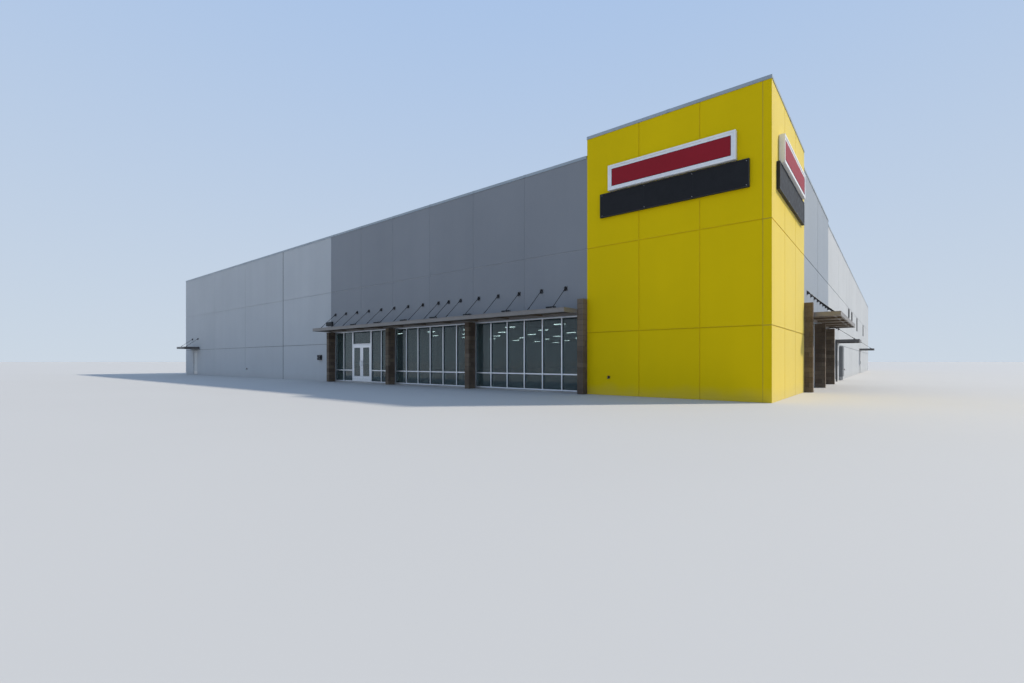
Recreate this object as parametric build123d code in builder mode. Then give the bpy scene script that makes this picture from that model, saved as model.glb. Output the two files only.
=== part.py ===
from build123d import *
import os

# A one-storey hardware store, as a 1:2 scale model.
# Every size is in millimetres of the model, so a full-size length is twice the number.
# The front faces -Y and the long side faces +X. The yellow corner block stands where they meet.
# Places along the front are measured leftwards from that corner, and along the side backwards.

# Overall size and walls
FRONT_LENGTH = 25150.0
SIDE_LENGTH = 33000.0
WALL_THICKNESS = 120.0
PARAPET_HEIGHT = 4500.0
LOW_PARAPET_HEIGHT = 4370.0
REVEAL_WIDTH = 18.0
REVEAL_DEPTH = 9.0
LOWER_REVEAL = 1155.0
UPPER_REVEAL = 2735.0
PANEL_WIDTH = 3130.0

# Corner block
TOWER_WIDTH = 3100.0
TOWER_DEPTH = 3200.0
TOWER_HEIGHT = 4850.0
TOWER_STRIPS = 3

# Floor and roof
FLOOR_LEVEL = 30.0
ROOF_LEVEL = 4060.0
ROOF_THICKNESS = 100.0

# Metal coping on the parapets
COPING_HEIGHT = 60.0
COPING_OVERHANG = 10.0
COPING_JOINT = 1.0

# Window bays and the masonry fins between them
DARK_FRONT_LENGTH = 9000.0
DARK_SIDE_LENGTH = 4450.0
FRONT_BAYS = 3
SIDE_BAYS = 2
FRONT_JOINTS_PER_BAY = 2
HEAD_HEIGHT = 1500.0
FIN_WIDTH = 130.0
FIN_DEPTH = 150.0
TALL_FIN_HEIGHT = 1790.0

# Shop window frames
FRAME_RECESS = 60.0
FRAME_DEPTH = 30.0
MULLION_WIDTH = 25.0
MID_RAIL_HEIGHT = 360.0
GLASS_THICKNESS = 12.0
GLASS_MARGIN = 4.0
FRONT_PANES = 6
SIDE_PANES = 4

# Entrance doors, which take the two middle panes of the bay furthest from the corner
DOOR_PANES = 2
ENTRANCE_HEAD = 1105.0
DOOR_GAP = 6.5
LEAF_THICKNESS = 24.0
HINGES = 3
HINGE_LENGTH = 50.0
HINGE_INSET = 60.0
HINGE_CLEARANCE = 0.3
STILE_WIDTH = 62.0
TOP_RAIL = 75.0
BOTTOM_RAIL = 150.0
PUSH_BAR_HEIGHT = 560.0
HANDLE_THICKNESS = 14.0
HANDLE_STAND_OFF = 30.0
PULL_LENGTH = 150.0
PULL_INSET = 30.0

# Service doors
SERVICE_LEAF_WIDTH = 455.0
SERVICE_LEAF_HEIGHT = 1065.0
SERVICE_FRAME_WIDTH = 26.0
SERVICE_FRAME_DEPTH = 75.0
SERVICE_RECESS = 12.0
FRONT_DOOR_END_DISTANCE = 1300.0
SIDE_DOOR_PLACES = (10150.0, 23000.0)

# Canopies and the rods that hold them
CANOPY_PROJECTION = 600.0
CANOPY_HEIGHT = 100.0
CANOPY_RIM = 30.0
CANOPY_DECK = 40.0
SMALL_CANOPY_WIDTH = 1040.0
SMALL_CANOPY_LEVEL = 1185.0
ROD_REACH = 460.0
ROD_DIAMETER = 15.0
ROD_PLATE = 65.0
ROD_PLATE_THICKNESS = 8.0
ROD_RISE = 435.0
SMALL_ROD_RISE = 370.0
ROD_PITCH = 577.0
ROD_END_DISTANCE = 265.0
CANOPY_SECTION_JOINT = 3560.0
JOINT_ROD_DISTANCE = 200.0
SIDE_RODS = 8
SMALL_ROD_SPREAD = 700.0

# Low fixtures that stand on the front canopy close to the wall
FIXTURES = 7
FIXTURE_LENGTH = 250.0
FIXTURE_DEPTH = 75.0
FIXTURE_HEIGHT = 175.0
FIXTURE_WALL_DISTANCE = 60.0
FIRST_FIXTURE_DISTANCE = 630.0
FIXTURE_PITCH = 1150.0

# Sign cabinets on the corner block
SIGN_BAND_LENGTH = 2510.0
SIGN_BAND_HEIGHT = 430.0
SIGN_BAND_LEVEL = 3250.0
SIGN_BAND_DEPTH = 50.0
SIGN_CABINET_LENGTH = 2150.0
SIGN_CABINET_HEIGHT = 450.0
SIGN_CABINET_DEPTH = 90.0
SIGN_GAP = 20.0

# High windows in the long side wall, placed by their distance from the service doors there
HIGH_WINDOW_WIDTH = 450.0
HIGH_WINDOW_HEAD = 2690.0
SHORT_WINDOW_HEIGHT = 330.0
TALL_WINDOW_HEIGHT = 600.0
HIGH_WINDOW_RECESS = 50.0
SHORT_WINDOW_DISTANCES = (4950.0, 6650.0)
TALL_WINDOW_DISTANCE = 10150.0
FAR_WINDOW_DISTANCE = 3000.0

# Small things fixed to the walls
WALL_BOX_SIZE = 160.0
WALL_BOX_DEPTH = 80.0
WALL_BOX_LEVEL = 660.0
WALL_BOX_DISTANCE = 530.0
TAP_SIZE = 60.0
TAP_DEPTH = 50.0
TAP_LEVEL = 300.0
TOWER_TAP_PLACE = 2650.0
FRONT_TAP_PLACE = 18200.0
SIDE_TAP_PLACE = 12700.0
CABINET_WIDTH = 500.0
CABINET_DEPTH = 100.0
CABINET_BOTTOM = 120.0
CABINET_TOP = 1120.0
CABINET_DISTANCE = 1000.0
CORNER_BOX_LENGTH = 320.0
CORNER_BOX_HEIGHT = 125.0
CORNER_BOX_DEPTH = 60.0
CORNER_BOX_RISE = 110.0
CORNER_BOX_OVERLAP = 125.0
SPOUT_WIDTH = 50.0
SPOUT_DISTANCE = 30.0

# Places of the outer faces, with the origin midway between the outermost edges at ground level
X_RIGHT = (FRONT_LENGTH + COPING_OVERHANG - CANOPY_PROJECTION) / 2
X_LEFT = X_RIGHT - FRONT_LENGTH
Y_FRONT = -(SIDE_LENGTH + COPING_OVERHANG - CANOPY_PROJECTION) / 2
Y_BACK = Y_FRONT + SIDE_LENGTH

DARK_FRONT_END = TOWER_WIDTH + DARK_FRONT_LENGTH
DARK_SIDE_END = TOWER_DEPTH + DARK_SIDE_LENGTH
FRONT_BAY_PITCH = (DARK_FRONT_LENGTH - FIN_WIDTH) / FRONT_BAYS
SIDE_BAY_PITCH = (DARK_SIDE_LENGTH - FIN_WIDTH) / SIDE_BAYS
FRONT_FINS = [TOWER_WIDTH + i * FRONT_BAY_PITCH for i in range(FRONT_BAYS + 1)]
SIDE_FINS = [TOWER_DEPTH + i * SIDE_BAY_PITCH for i in range(SIDE_BAYS + 1)]
FRONT_BAY_WIDTH = FRONT_BAY_PITCH - FIN_WIDTH
SERVICE_OPENING_WIDTH = SERVICE_LEAF_WIDTH + 2 * (DOOR_GAP + SERVICE_FRAME_WIDTH)
SERVICE_OPENING_HEAD = FLOOR_LEVEL + SERVICE_LEAF_HEIGHT + 2 * DOOR_GAP + SERVICE_FRAME_WIDTH

os.makedirs("parts", exist_ok=True)


class Side:
    """One face of the building: a plane whose x runs along the wall and whose y is height."""

    def __init__(self, corner, along, inward):
        across = Vector(*along, 0).cross(Vector(0, 0, 1))
        self.plane = Plane(origin=(*corner, 0), x_dir=(*along, 0), z_dir=across)
        self.inward = 1 if self.plane.z_dir.dot(Vector(*inward, 0)) > 0 else -1

    def at(self, depth):
        """The plane that lies depth behind the outer face, or in front of it if depth is negative."""
        return self.plane.offset(self.inward * depth)

    def facing(self, along, height):
        """A plane on the outer face that looks outwards, with its y upwards and its origin at a place."""
        outward = self.plane.z_dir * -self.inward
        origin = self.plane.from_local_coords(Vector(along, height, 0))
        return Plane(origin=origin, x_dir=Vector(0, 0, 1).cross(outward), z_dir=outward)


FRONT = Side((X_RIGHT, Y_FRONT), (-1, 0), (0, 1))
LONG_SIDE = Side((X_RIGHT, Y_FRONT), (0, 1), (-1, 0))
LEFT = Side((X_LEFT, Y_FRONT), (0, 1), (1, 0))
BACK = Side((X_RIGHT, Y_BACK), (-1, 0), (0, -1))

front_door = FRONT_LENGTH - FRONT_DOOR_END_DISTANCE
near_door, far_door = SIDE_DOOR_PLACES
service_doors = [(FRONT, front_door), (LONG_SIDE, near_door), (LONG_SIDE, far_door)]
half_doorway = SERVICE_OPENING_WIDTH / 2
front_bays = [(fin + FIN_WIDTH, fin + FRONT_BAY_PITCH) for fin in FRONT_FINS[:-1]]
side_bays = [(fin + FIN_WIDTH, fin + SIDE_BAY_PITCH) for fin in SIDE_FINS[:-1]]


def band(centre, width):
    """The two edges of a band about its middle."""
    return (centre - width / 2, centre + width / 2)


def rectangle(along, height):
    """A rectangle between two places along a wall and two heights, in the open sketch."""
    with Locations(((along[0] + along[1]) / 2, (height[0] + height[1]) / 2)):
        Rectangle(along[1] - along[0], height[1] - height[0])


def block(side, along, height, depth, mode=Mode.ADD):
    """A block on one side of the building, from the first depth behind its face to the second."""
    with BuildSketch(side.at(depth[0])) as profile:
        rectangle(along, height)
    extrude(profile.sketch, amount=side.inward * (depth[1] - depth[0]), mode=mode)


def keep(builder, name):
    """Label a finished piece and write it."""
    builder.part.label = name
    export_step(builder.part, f"parts/{name}.step")


def panel_joints(start, end, spacing):
    """Places of the joints that cut a length of wall into panels, none at its ends."""
    return [start + i * spacing for i in range(1, int((end - start - spacing / 2) / spacing) + 1)]


def cut_grooves(side, along, height, reveals, joints):
    """Cut the horizontal reveals and the vertical panel joints into the outer face of a wall."""
    with BuildSketch(side.plane) as grooves:
        for level in reveals:
            rectangle(along, band(level, REVEAL_WIDTH))
        for place in joints:
            rectangle(band(place, REVEAL_WIDTH), height)
    extrude(grooves.sketch, amount=side.inward * REVEAL_DEPTH, mode=Mode.SUBTRACT)


def wall(name, side, along, height, reveals=(), joints=(), windows=()):
    """A concrete wall with its horizontal reveals, vertical panel joints and window holes."""
    with BuildPart() as panel:
        with BuildSketch(side.plane) as outline:
            rectangle(along, height)
            for place, sill, head in windows:
                with Locations((place, (sill + head) / 2)):
                    Rectangle(HIGH_WINDOW_WIDTH, head - sill, mode=Mode.SUBTRACT)
        extrude(outline.sketch, amount=side.inward * WALL_THICKNESS)
        cut_grooves(side, along, height, reveals, joints)
    keep(panel, name)


# Floor slab, with a tongue into every opening that reaches the ground
with BuildPart() as floor_slab:
    with BuildSketch(Plane.XY):
        with Locations(((X_LEFT + X_RIGHT) / 2, (Y_FRONT + Y_BACK) / 2)):
            Rectangle(FRONT_LENGTH - 2 * WALL_THICKNESS, SIDE_LENGTH - 2 * WALL_THICKNESS)
    extrude(amount=FLOOR_LEVEL)
    for bay in front_bays:
        block(FRONT, bay, (0, FLOOR_LEVEL), (FRAME_RECESS, WALL_THICKNESS))
    for bay in side_bays:
        block(LONG_SIDE, bay, (0, FLOOR_LEVEL), (FRAME_RECESS, WALL_THICKNESS))
    for side, place in service_doors:
        block(side, band(place, SERVICE_OPENING_WIDTH), (0, FLOOR_LEVEL), (0, WALL_THICKNESS))
keep(floor_slab, "floor_slab")

# Roof deck between the walls
with BuildPart() as roof_deck:
    with BuildSketch(Plane.XY.offset(ROOF_LEVEL - ROOF_THICKNESS)):
        with Locations(((X_LEFT + X_RIGHT) / 2, (Y_FRONT + Y_BACK) / 2)):
            Rectangle(FRONT_LENGTH - 2 * WALL_THICKNESS, SIDE_LENGTH - 2 * WALL_THICKNESS)
    extrude(amount=ROOF_THICKNESS)
keep(roof_deck, "roof_deck")

# Walls of the corner block; the side panel's edge shows at the corner
wall_top = PARAPET_HEIGHT - COPING_HEIGHT
low_wall_top = LOW_PARAPET_HEIGHT - COPING_HEIGHT
tower_top = TOWER_HEIGHT - COPING_HEIGHT
both_reveals = (LOWER_REVEAL, UPPER_REVEAL)
front_strips = [i * TOWER_WIDTH / TOWER_STRIPS for i in range(1, TOWER_STRIPS)]
side_strips = [i * TOWER_DEPTH / TOWER_STRIPS for i in range(1, TOWER_STRIPS)]
wall("tower_front_wall", FRONT, (WALL_THICKNESS, TOWER_WIDTH), (0, tower_top), both_reveals, front_strips)
wall("tower_side_wall", LONG_SIDE, (0, TOWER_DEPTH), (0, tower_top), both_reveals, side_strips)

with BuildPart() as tower_left_return:
    block(
        FRONT,
        (TOWER_WIDTH - WALL_THICKNESS, TOWER_WIDTH),
        (ROOF_LEVEL, tower_top),
        (WALL_THICKNESS, TOWER_DEPTH),
    )
keep(tower_left_return, "tower_left_return")

with BuildPart() as tower_rear_return:
    block(
        FRONT,
        (WALL_THICKNESS, TOWER_WIDTH - WALL_THICKNESS),
        (ROOF_LEVEL, tower_top),
        (TOWER_DEPTH - WALL_THICKNESS, TOWER_DEPTH),
    )
keep(tower_rear_return, "tower_rear_return")

# Dark grey walls over the window bays
dark_height = (HEAD_HEIGHT, wall_top)
front_joint_spacing = FRONT_BAY_PITCH / FRONT_JOINTS_PER_BAY
front_bay_joints = panel_joints(FRONT_FINS[0], FRONT_FINS[-1], front_joint_spacing)
dark_front_span = (TOWER_WIDTH, DARK_FRONT_END)
dark_side_span = (TOWER_DEPTH, DARK_SIDE_END)
wall("front_dark_wall", FRONT, dark_front_span, dark_height, (UPPER_REVEAL,), front_bay_joints)
wall("side_dark_wall", LONG_SIDE, dark_side_span, dark_height, (UPPER_REVEAL,), SIDE_FINS[1:-1])


# Light grey walls, split at the service doors
def light_wall(name, side, along, top, run, windows=()):
    """A length of light grey wall; run is the whole wall, so that its joints keep their rhythm."""
    every_joint = panel_joints(*run, PANEL_WIDTH)
    joints = [x for x in every_joint if along[0] + REVEAL_WIDTH < x < along[1] - REVEAL_WIDTH]
    wall(name, side, along, (0, top), both_reveals, joints, windows)


front_run = (DARK_FRONT_END, FRONT_LENGTH)
right_length = (DARK_FRONT_END, front_door - half_doorway)
left_length = (front_door + half_doorway, FRONT_LENGTH)
light_wall("front_light_wall_right", FRONT, right_length, wall_top, front_run)
light_wall("front_light_wall_left", FRONT, left_length, wall_top, front_run)

window_heights = [(near_door + distance, SHORT_WINDOW_HEIGHT) for distance in SHORT_WINDOW_DISTANCES]
window_heights.append((near_door + TALL_WINDOW_DISTANCE, TALL_WINDOW_HEIGHT))
window_heights.append((far_door + FAR_WINDOW_DISTANCE, TALL_WINDOW_HEIGHT))
high_windows = [(place, HIGH_WINDOW_HEAD - rise, HIGH_WINDOW_HEAD) for place, rise in window_heights]
side_run = (DARK_SIDE_END, SIDE_LENGTH)
side_edges = [DARK_SIDE_END]
for place in SIDE_DOOR_PLACES:
    side_edges += band(place, SERVICE_OPENING_WIDTH)
side_edges.append(SIDE_LENGTH)
for name, start, end in zip(("near", "middle", "far"), side_edges[::2], side_edges[1::2]):
    windows = [window for window in high_windows if start < window[0] < end]
    light_wall(f"side_light_wall_{name}", LONG_SIDE, (start, end), low_wall_top, side_run, windows)

left_span = (WALL_THICKNESS, SIDE_LENGTH - WALL_THICKNESS)
back_span = (WALL_THICKNESS, FRONT_LENGTH)
light_wall("left_wall", LEFT, left_span, low_wall_top, (0, SIDE_LENGTH))
light_wall("back_wall", BACK, back_span, low_wall_top, (0, FRONT_LENGTH))

with BuildPart() as door_head_walls:
    for side, place in service_doors:
        top = wall_top if side is FRONT else low_wall_top
        along = band(place, SERVICE_OPENING_WIDTH)
        block(side, along, (SERVICE_OPENING_HEAD, top), (0, WALL_THICKNESS))
        cut_grooves(side, along, (SERVICE_OPENING_HEAD, top), both_reveals, ())
keep(door_head_walls, "door_head_walls")


# Copings: straight lengths that meet with a narrow joint
def coping(side, along, top):
    """One length of coping on a wall, overhanging both its faces."""
    block(side, along, (top - COPING_HEIGHT, top), (-COPING_OVERHANG, WALL_THICKNESS + COPING_OVERHANG))


coping_inner = WALL_THICKNESS + COPING_OVERHANG + COPING_JOINT

with BuildPart() as front_coping:
    front_start = TOWER_WIDTH + COPING_OVERHANG + COPING_JOINT
    coping(FRONT, (front_start, FRONT_LENGTH + COPING_OVERHANG), PARAPET_HEIGHT)
keep(front_coping, "front_coping")

with BuildPart() as side_coping:
    coping(LONG_SIDE, (TOWER_DEPTH + COPING_OVERHANG + COPING_JOINT, DARK_SIDE_END), PARAPET_HEIGHT)
    coping(LONG_SIDE, (DARK_SIDE_END + COPING_JOINT, SIDE_LENGTH + COPING_OVERHANG), LOW_PARAPET_HEIGHT)
keep(side_coping, "side_coping")

with BuildPart() as left_coping:
    coping(LEFT, (WALL_THICKNESS, SIDE_LENGTH - coping_inner), LOW_PARAPET_HEIGHT)
keep(left_coping, "left_coping")

with BuildPart() as back_coping:
    coping(BACK, (coping_inner, FRONT_LENGTH + COPING_OVERHANG), LOW_PARAPET_HEIGHT)
keep(back_coping, "back_coping")

with BuildPart() as tower_coping:
    coping(FRONT, (-COPING_OVERHANG, TOWER_WIDTH + COPING_OVERHANG), TOWER_HEIGHT)
    coping(LONG_SIDE, (coping_inner, TOWER_DEPTH + COPING_OVERHANG), TOWER_HEIGHT)
    crown = (tower_top, TOWER_HEIGHT)
    rear_edge = TOWER_DEPTH + COPING_OVERHANG
    left_bar = (TOWER_WIDTH - WALL_THICKNESS - COPING_OVERHANG, TOWER_WIDTH + COPING_OVERHANG)
    block(FRONT, left_bar, crown, (coping_inner, rear_edge))
    rear_bar = (coping_inner, left_bar[0] - COPING_JOINT)
    block(FRONT, rear_bar, crown, (rear_edge - WALL_THICKNESS - 2 * COPING_OVERHANG, rear_edge))
keep(tower_coping, "tower_coping")


# Masonry fins: piers as deep as the wall under the head of the bays, the first one taller in front
def fins(name, side, places):
    """The fins of one face; the one beside the corner block rises past the canopy."""
    with BuildPart() as piers:
        for place in places:
            block(side, (place, place + FIN_WIDTH), (0, HEAD_HEIGHT), (-FIN_DEPTH, WALL_THICKNESS))
        first = (places[0], places[0] + FIN_WIDTH)
        block(side, first, (HEAD_HEIGHT, TALL_FIN_HEIGHT), (-FIN_DEPTH, 0))
    keep(piers, name)


fins("front_fins", FRONT, FRONT_FINS)
fins("side_fins", LONG_SIDE, SIDE_FINS)


# Shop windows: an aluminium grid with a sheet of glass behind it
def grid(side, along, columns):
    """A window grid between two places: posts at even spacing, a mid rail, a head and a sill."""
    pitch = (along[1] - along[0] - MULLION_WIDTH) / columns
    rows = (
        (FLOOR_LEVEL + MULLION_WIDTH, MID_RAIL_HEIGHT - MULLION_WIDTH / 2),
        (MID_RAIL_HEIGHT + MULLION_WIDTH / 2, HEAD_HEIGHT - MULLION_WIDTH),
    )
    with BuildSketch(side.at(FRAME_RECESS)) as bars:
        rectangle(along, (FLOOR_LEVEL, HEAD_HEIGHT))
        for column in range(columns):
            left = along[0] + MULLION_WIDTH + column * pitch
            for bottom, top in rows:
                with Locations((left + (pitch - MULLION_WIDTH) / 2, (bottom + top) / 2)):
                    Rectangle(pitch - MULLION_WIDTH, top - bottom, mode=Mode.SUBTRACT)
    extrude(bars.sketch, amount=side.inward * FRAME_DEPTH)


def sheet(side, along, height):
    """A sheet of glass on the back of a frame, a little smaller than the frame."""
    inner = (along[0] + GLASS_MARGIN, along[1] - GLASS_MARGIN)
    rise = (height[0] + GLASS_MARGIN, height[1] - GLASS_MARGIN)
    depth = FRAME_RECESS + FRAME_DEPTH
    block(side, inner, rise, (depth, depth + GLASS_THICKNESS))


# The entrance bay has a grid each side of the doors and a window over them
entrance_bay = front_bays[-1]
pane_pitch = (FRONT_BAY_WIDTH - MULLION_WIDTH) / FRONT_PANES
side_panes = (FRONT_PANES - DOOR_PANES) // 2
side_grid_width = side_panes * pane_pitch + MULLION_WIDTH
right_grid = (entrance_bay[0], entrance_bay[0] + side_grid_width)
left_grid = (entrance_bay[1] - side_grid_width, entrance_bay[1])
doorway = (right_grid[1], left_grid[0])
transom = (ENTRANCE_HEAD, HEAD_HEIGHT)
full_height = (FLOOR_LEVEL, HEAD_HEIGHT)

with BuildPart() as front_window_frames:
    for bay in front_bays[:-1]:
        grid(FRONT, bay, FRONT_PANES)
    for span in (right_grid, left_grid):
        grid(FRONT, span, side_panes)
keep(front_window_frames, "front_window_frames")

with BuildPart() as front_window_glass:
    for span in (*front_bays[:-1], right_grid, left_grid):
        sheet(FRONT, span, full_height)
    sheet(FRONT, doorway, transom)
keep(front_window_glass, "front_window_glass")

with BuildPart() as side_window_frames:
    for bay in side_bays:
        grid(LONG_SIDE, bay, SIDE_PANES)
keep(side_window_frames, "side_window_frames")

with BuildPart() as side_window_glass:
    for bay in side_bays:
        sheet(LONG_SIDE, bay, full_height)
keep(side_window_glass, "side_window_glass")

with BuildPart() as entrance_transom_frame:
    with BuildSketch(FRONT.at(FRAME_RECESS)) as ring:
        rectangle(doorway, transom)
        with Locations((sum(doorway) / 2, sum(transom) / 2)):
            Rectangle(
                doorway[1] - doorway[0] - 2 * MULLION_WIDTH,
                transom[1] - transom[0] - 2 * MULLION_WIDTH,
                mode=Mode.SUBTRACT,
            )
    extrude(ring.sketch, amount=FRONT.inward * FRAME_DEPTH)
keep(entrance_transom_frame, "entrance_transom_frame")

# Entrance doors: glazed leaves hung at the outer face of the frame, opening outwards
leaf_width = (doorway[1] - doorway[0] - 3 * DOOR_GAP) / 2
leaf_height = (FLOOR_LEVEL + DOOR_GAP, ENTRANCE_HEAD - DOOR_GAP)
right_leaf = (doorway[0] + DOOR_GAP, doorway[0] + DOOR_GAP + leaf_width)
left_leaf = (doorway[1] - DOOR_GAP - leaf_width, doorway[1] - DOOR_GAP)
leaf_depth = (FRAME_RECESS, FRAME_RECESS + LEAF_THICKNESS)


def hinge_knuckles(side, place, height, depth):
    """Round knuckles about a leaf's hinge line, which reach the jamb but for a running clearance."""
    first = height[0] + HINGE_INSET
    spacing = (height[1] - HINGE_LENGTH - HINGE_INSET - first) / (HINGES - 1)
    centre = side.at(depth).from_local_coords(Vector(place, 0, 0))
    for i in range(HINGES):
        with BuildSketch(Plane(origin=(centre.X, centre.Y, first + i * spacing))) as knuckle:
            Circle(DOOR_GAP - HINGE_CLEARANCE)
        extrude(knuckle.sketch, amount=HINGE_LENGTH)


def ends(span):
    """The stretches, as long as a handle is thick, at the two ends of a span."""
    return ((span[0], span[0] + HANDLE_THICKNESS), (span[1] - HANDLE_THICKNESS, span[1]))


def bar_handle(side, along, height, face, stand_off):
    """A straight square bar, held off a door face by a foot at each end."""
    centre = face + stand_off
    block(side, along, height, (centre - HANDLE_THICKNESS / 2, centre + HANDLE_THICKNESS / 2))
    for foot_along, foot_height in zip(ends(along), ends(height)):
        block(side, foot_along, foot_height, sorted((face, centre)))


def glazed_leaf(name, along, hinge_place, meeting_place):
    """A door leaf: stiles and rails, a push bar inside and a pull outside near its meeting edge."""
    glass_along = (along[0] + STILE_WIDTH, along[1] - STILE_WIDTH)
    glass_height = (leaf_height[0] + BOTTOM_RAIL, leaf_height[1] - TOP_RAIL)
    with BuildPart() as leaf:
        block(FRONT, along, leaf_height, leaf_depth)
        block(FRONT, glass_along, glass_height, leaf_depth, mode=Mode.SUBTRACT)
        hinge_knuckles(FRONT, hinge_place, leaf_height, leaf_depth[0])
        push_along = (along[0] + STILE_WIDTH / 2, along[1] - STILE_WIDTH / 2)
        push_height = band(PUSH_BAR_HEIGHT, HANDLE_THICKNESS)
        bar_handle(FRONT, push_along, push_height, leaf_depth[1], HANDLE_STAND_OFF)
        inset = PULL_INSET if meeting_place < hinge_place else -PULL_INSET
        pull_along = band(meeting_place + inset, HANDLE_THICKNESS)
        pull_height = band(PUSH_BAR_HEIGHT, PULL_LENGTH)
        bar_handle(FRONT, pull_along, pull_height, leaf_depth[0], -HANDLE_STAND_OFF)
    keep(leaf, name)
    with BuildPart() as pane:
        block(FRONT, glass_along, glass_height, band(sum(leaf_depth) / 2, GLASS_THICKNESS))
    keep(pane, f"{name}_glass")


glazed_leaf("entrance_door_right", right_leaf, *right_leaf)
glazed_leaf("entrance_door_left", left_leaf, *reversed(left_leaf))


# Service doors: flush leaves in pressed frames
def service_leaf(name, side, place):
    """A flush leaf with a pull on its outer face, hinged at the end nearer the low places."""
    along = band(place, SERVICE_LEAF_WIDTH)
    height = (FLOOR_LEVEL + DOOR_GAP, FLOOR_LEVEL + DOOR_GAP + SERVICE_LEAF_HEIGHT)
    with BuildPart() as leaf:
        block(side, along, height, (SERVICE_RECESS, SERVICE_RECESS + LEAF_THICKNESS))
        hinge_knuckles(side, along[0], height, SERVICE_RECESS)
        pull_along = band(along[1] - PULL_INSET, HANDLE_THICKNESS)
        pull_height = band(PUSH_BAR_HEIGHT, PULL_LENGTH)
        bar_handle(side, pull_along, pull_height, SERVICE_RECESS, -HANDLE_STAND_OFF)
    keep(leaf, name)


service_leaf("front_service_door", FRONT, front_door)
service_leaf("side_service_door_near", LONG_SIDE, near_door)
service_leaf("side_service_door_far", LONG_SIDE, far_door)

with BuildPart() as service_door_frames:
    frame_depth = (0, SERVICE_FRAME_DEPTH)
    clear_height = (FLOOR_LEVEL, SERVICE_OPENING_HEAD - SERVICE_FRAME_WIDTH)
    for side, place in service_doors:
        block(side, band(place, SERVICE_OPENING_WIDTH), (FLOOR_LEVEL, SERVICE_OPENING_HEAD), frame_depth)
        clear_along = band(place, SERVICE_OPENING_WIDTH - 2 * SERVICE_FRAME_WIDTH)
        block(side, clear_along, clear_height, frame_depth, mode=Mode.SUBTRACT)
keep(service_door_frames, "service_door_frames")


# Canopies: trays of channel with a deck, hung from the wall by rods
def canopy(side, along, level):
    """A flat tray with its rim standing above the deck, and a rail under the line of the rods."""
    block(side, along, (level, level + CANOPY_HEIGHT), (-CANOPY_PROJECTION, 0))
    well = (along[0] + CANOPY_RIM, along[1] - CANOPY_RIM)
    well_height = (level + CANOPY_DECK, level + CANOPY_HEIGHT)
    outer_pocket = (-CANOPY_PROJECTION + CANOPY_RIM, -ROD_REACH - CANOPY_RIM / 2)
    inner_pocket = (-ROD_REACH + CANOPY_RIM / 2, -CANOPY_RIM)
    for depth in (outer_pocket, inner_pocket):
        block(side, well, well_height, depth, mode=Mode.SUBTRACT)


front_canopy_span = (FRONT_FINS[0] + FIN_WIDTH, DARK_FRONT_END)
side_canopy_span = (SIDE_FINS[0] + FIN_WIDTH, DARK_SIDE_END)

with BuildPart() as front_canopy:
    canopy(FRONT, front_canopy_span, HEAD_HEIGHT)
keep(front_canopy, "front_canopy")

with BuildPart() as side_canopy:
    canopy(LONG_SIDE, side_canopy_span, HEAD_HEIGHT)
keep(side_canopy, "side_canopy")

with BuildPart() as small_canopies:
    for side, place in service_doors:
        canopy(side, band(place, SMALL_CANOPY_WIDTH), SMALL_CANOPY_LEVEL)
keep(small_canopies, "small_canopies")


# Fixtures on the deck of the front canopy
with BuildPart() as canopy_fixtures:
    fixture_level = HEAD_HEIGHT + CANOPY_DECK
    fixture_height = (fixture_level, fixture_level + FIXTURE_HEIGHT)
    fixture_depth = (-FIXTURE_WALL_DISTANCE - FIXTURE_DEPTH, -FIXTURE_WALL_DISTANCE)
    for i in range(FIXTURES):
        place = front_canopy_span[0] + FIRST_FIXTURE_DISTANCE + i * FIXTURE_PITCH
        block(FRONT, band(place, FIXTURE_LENGTH), fixture_height, fixture_depth)
keep(canopy_fixtures, "canopy_fixtures")


def hanger(rise):
    """A rod from a plate on the wall down to a canopy rail, about the canopy's top at the wall."""
    top = Vector(0, rise, ROD_PLATE_THICKNESS)
    foot = Vector(0, ROD_DIAMETER / 2, ROD_REACH)
    with BuildPart() as rod:
        with BuildSketch(Plane.XY):
            with Locations((0, rise)):
                Rectangle(ROD_PLATE, ROD_PLATE)
        extrude(amount=ROD_PLATE_THICKNESS)
        with BuildSketch(Plane.XY.offset(ROD_REACH - CANOPY_RIM / 2)):
            with Locations((0, ROD_DIAMETER / 2)):
                Rectangle(CANOPY_RIM, ROD_DIAMETER)
        extrude(amount=CANOPY_RIM)
        with BuildSketch(Plane(origin=foot, z_dir=top - foot)):
            Circle(ROD_DIAMETER / 2)
        extrude(amount=(top - foot).length)
    return rod.part


# The front canopy is in two sections, and its rods are spaced from the left end and from the joint
section_joint = TOWER_WIDTH + CANOPY_SECTION_JOINT
first_left_rod = DARK_FRONT_END - ROD_END_DISTANCE
first_right_rod = section_joint - JOINT_ROD_DISTANCE
last_left_rod = section_joint + JOINT_ROD_DISTANCE
left_rod_count = int((first_left_rod - last_left_rod) / ROD_PITCH) + 1
right_rod_count = int(CANOPY_SECTION_JOINT / ROD_PITCH)
left_rods = [first_left_rod - i * ROD_PITCH for i in range(left_rod_count)]
right_rods = [first_right_rod - i * ROD_PITCH for i in range(right_rod_count)]
first_side_rod = side_canopy_span[0] + ROD_END_DISTANCE
side_rod_pitch = (side_canopy_span[1] - ROD_END_DISTANCE - first_side_rod) / (SIDE_RODS - 1)
side_rods = [first_side_rod + i * side_rod_pitch for i in range(SIDE_RODS)]

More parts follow.
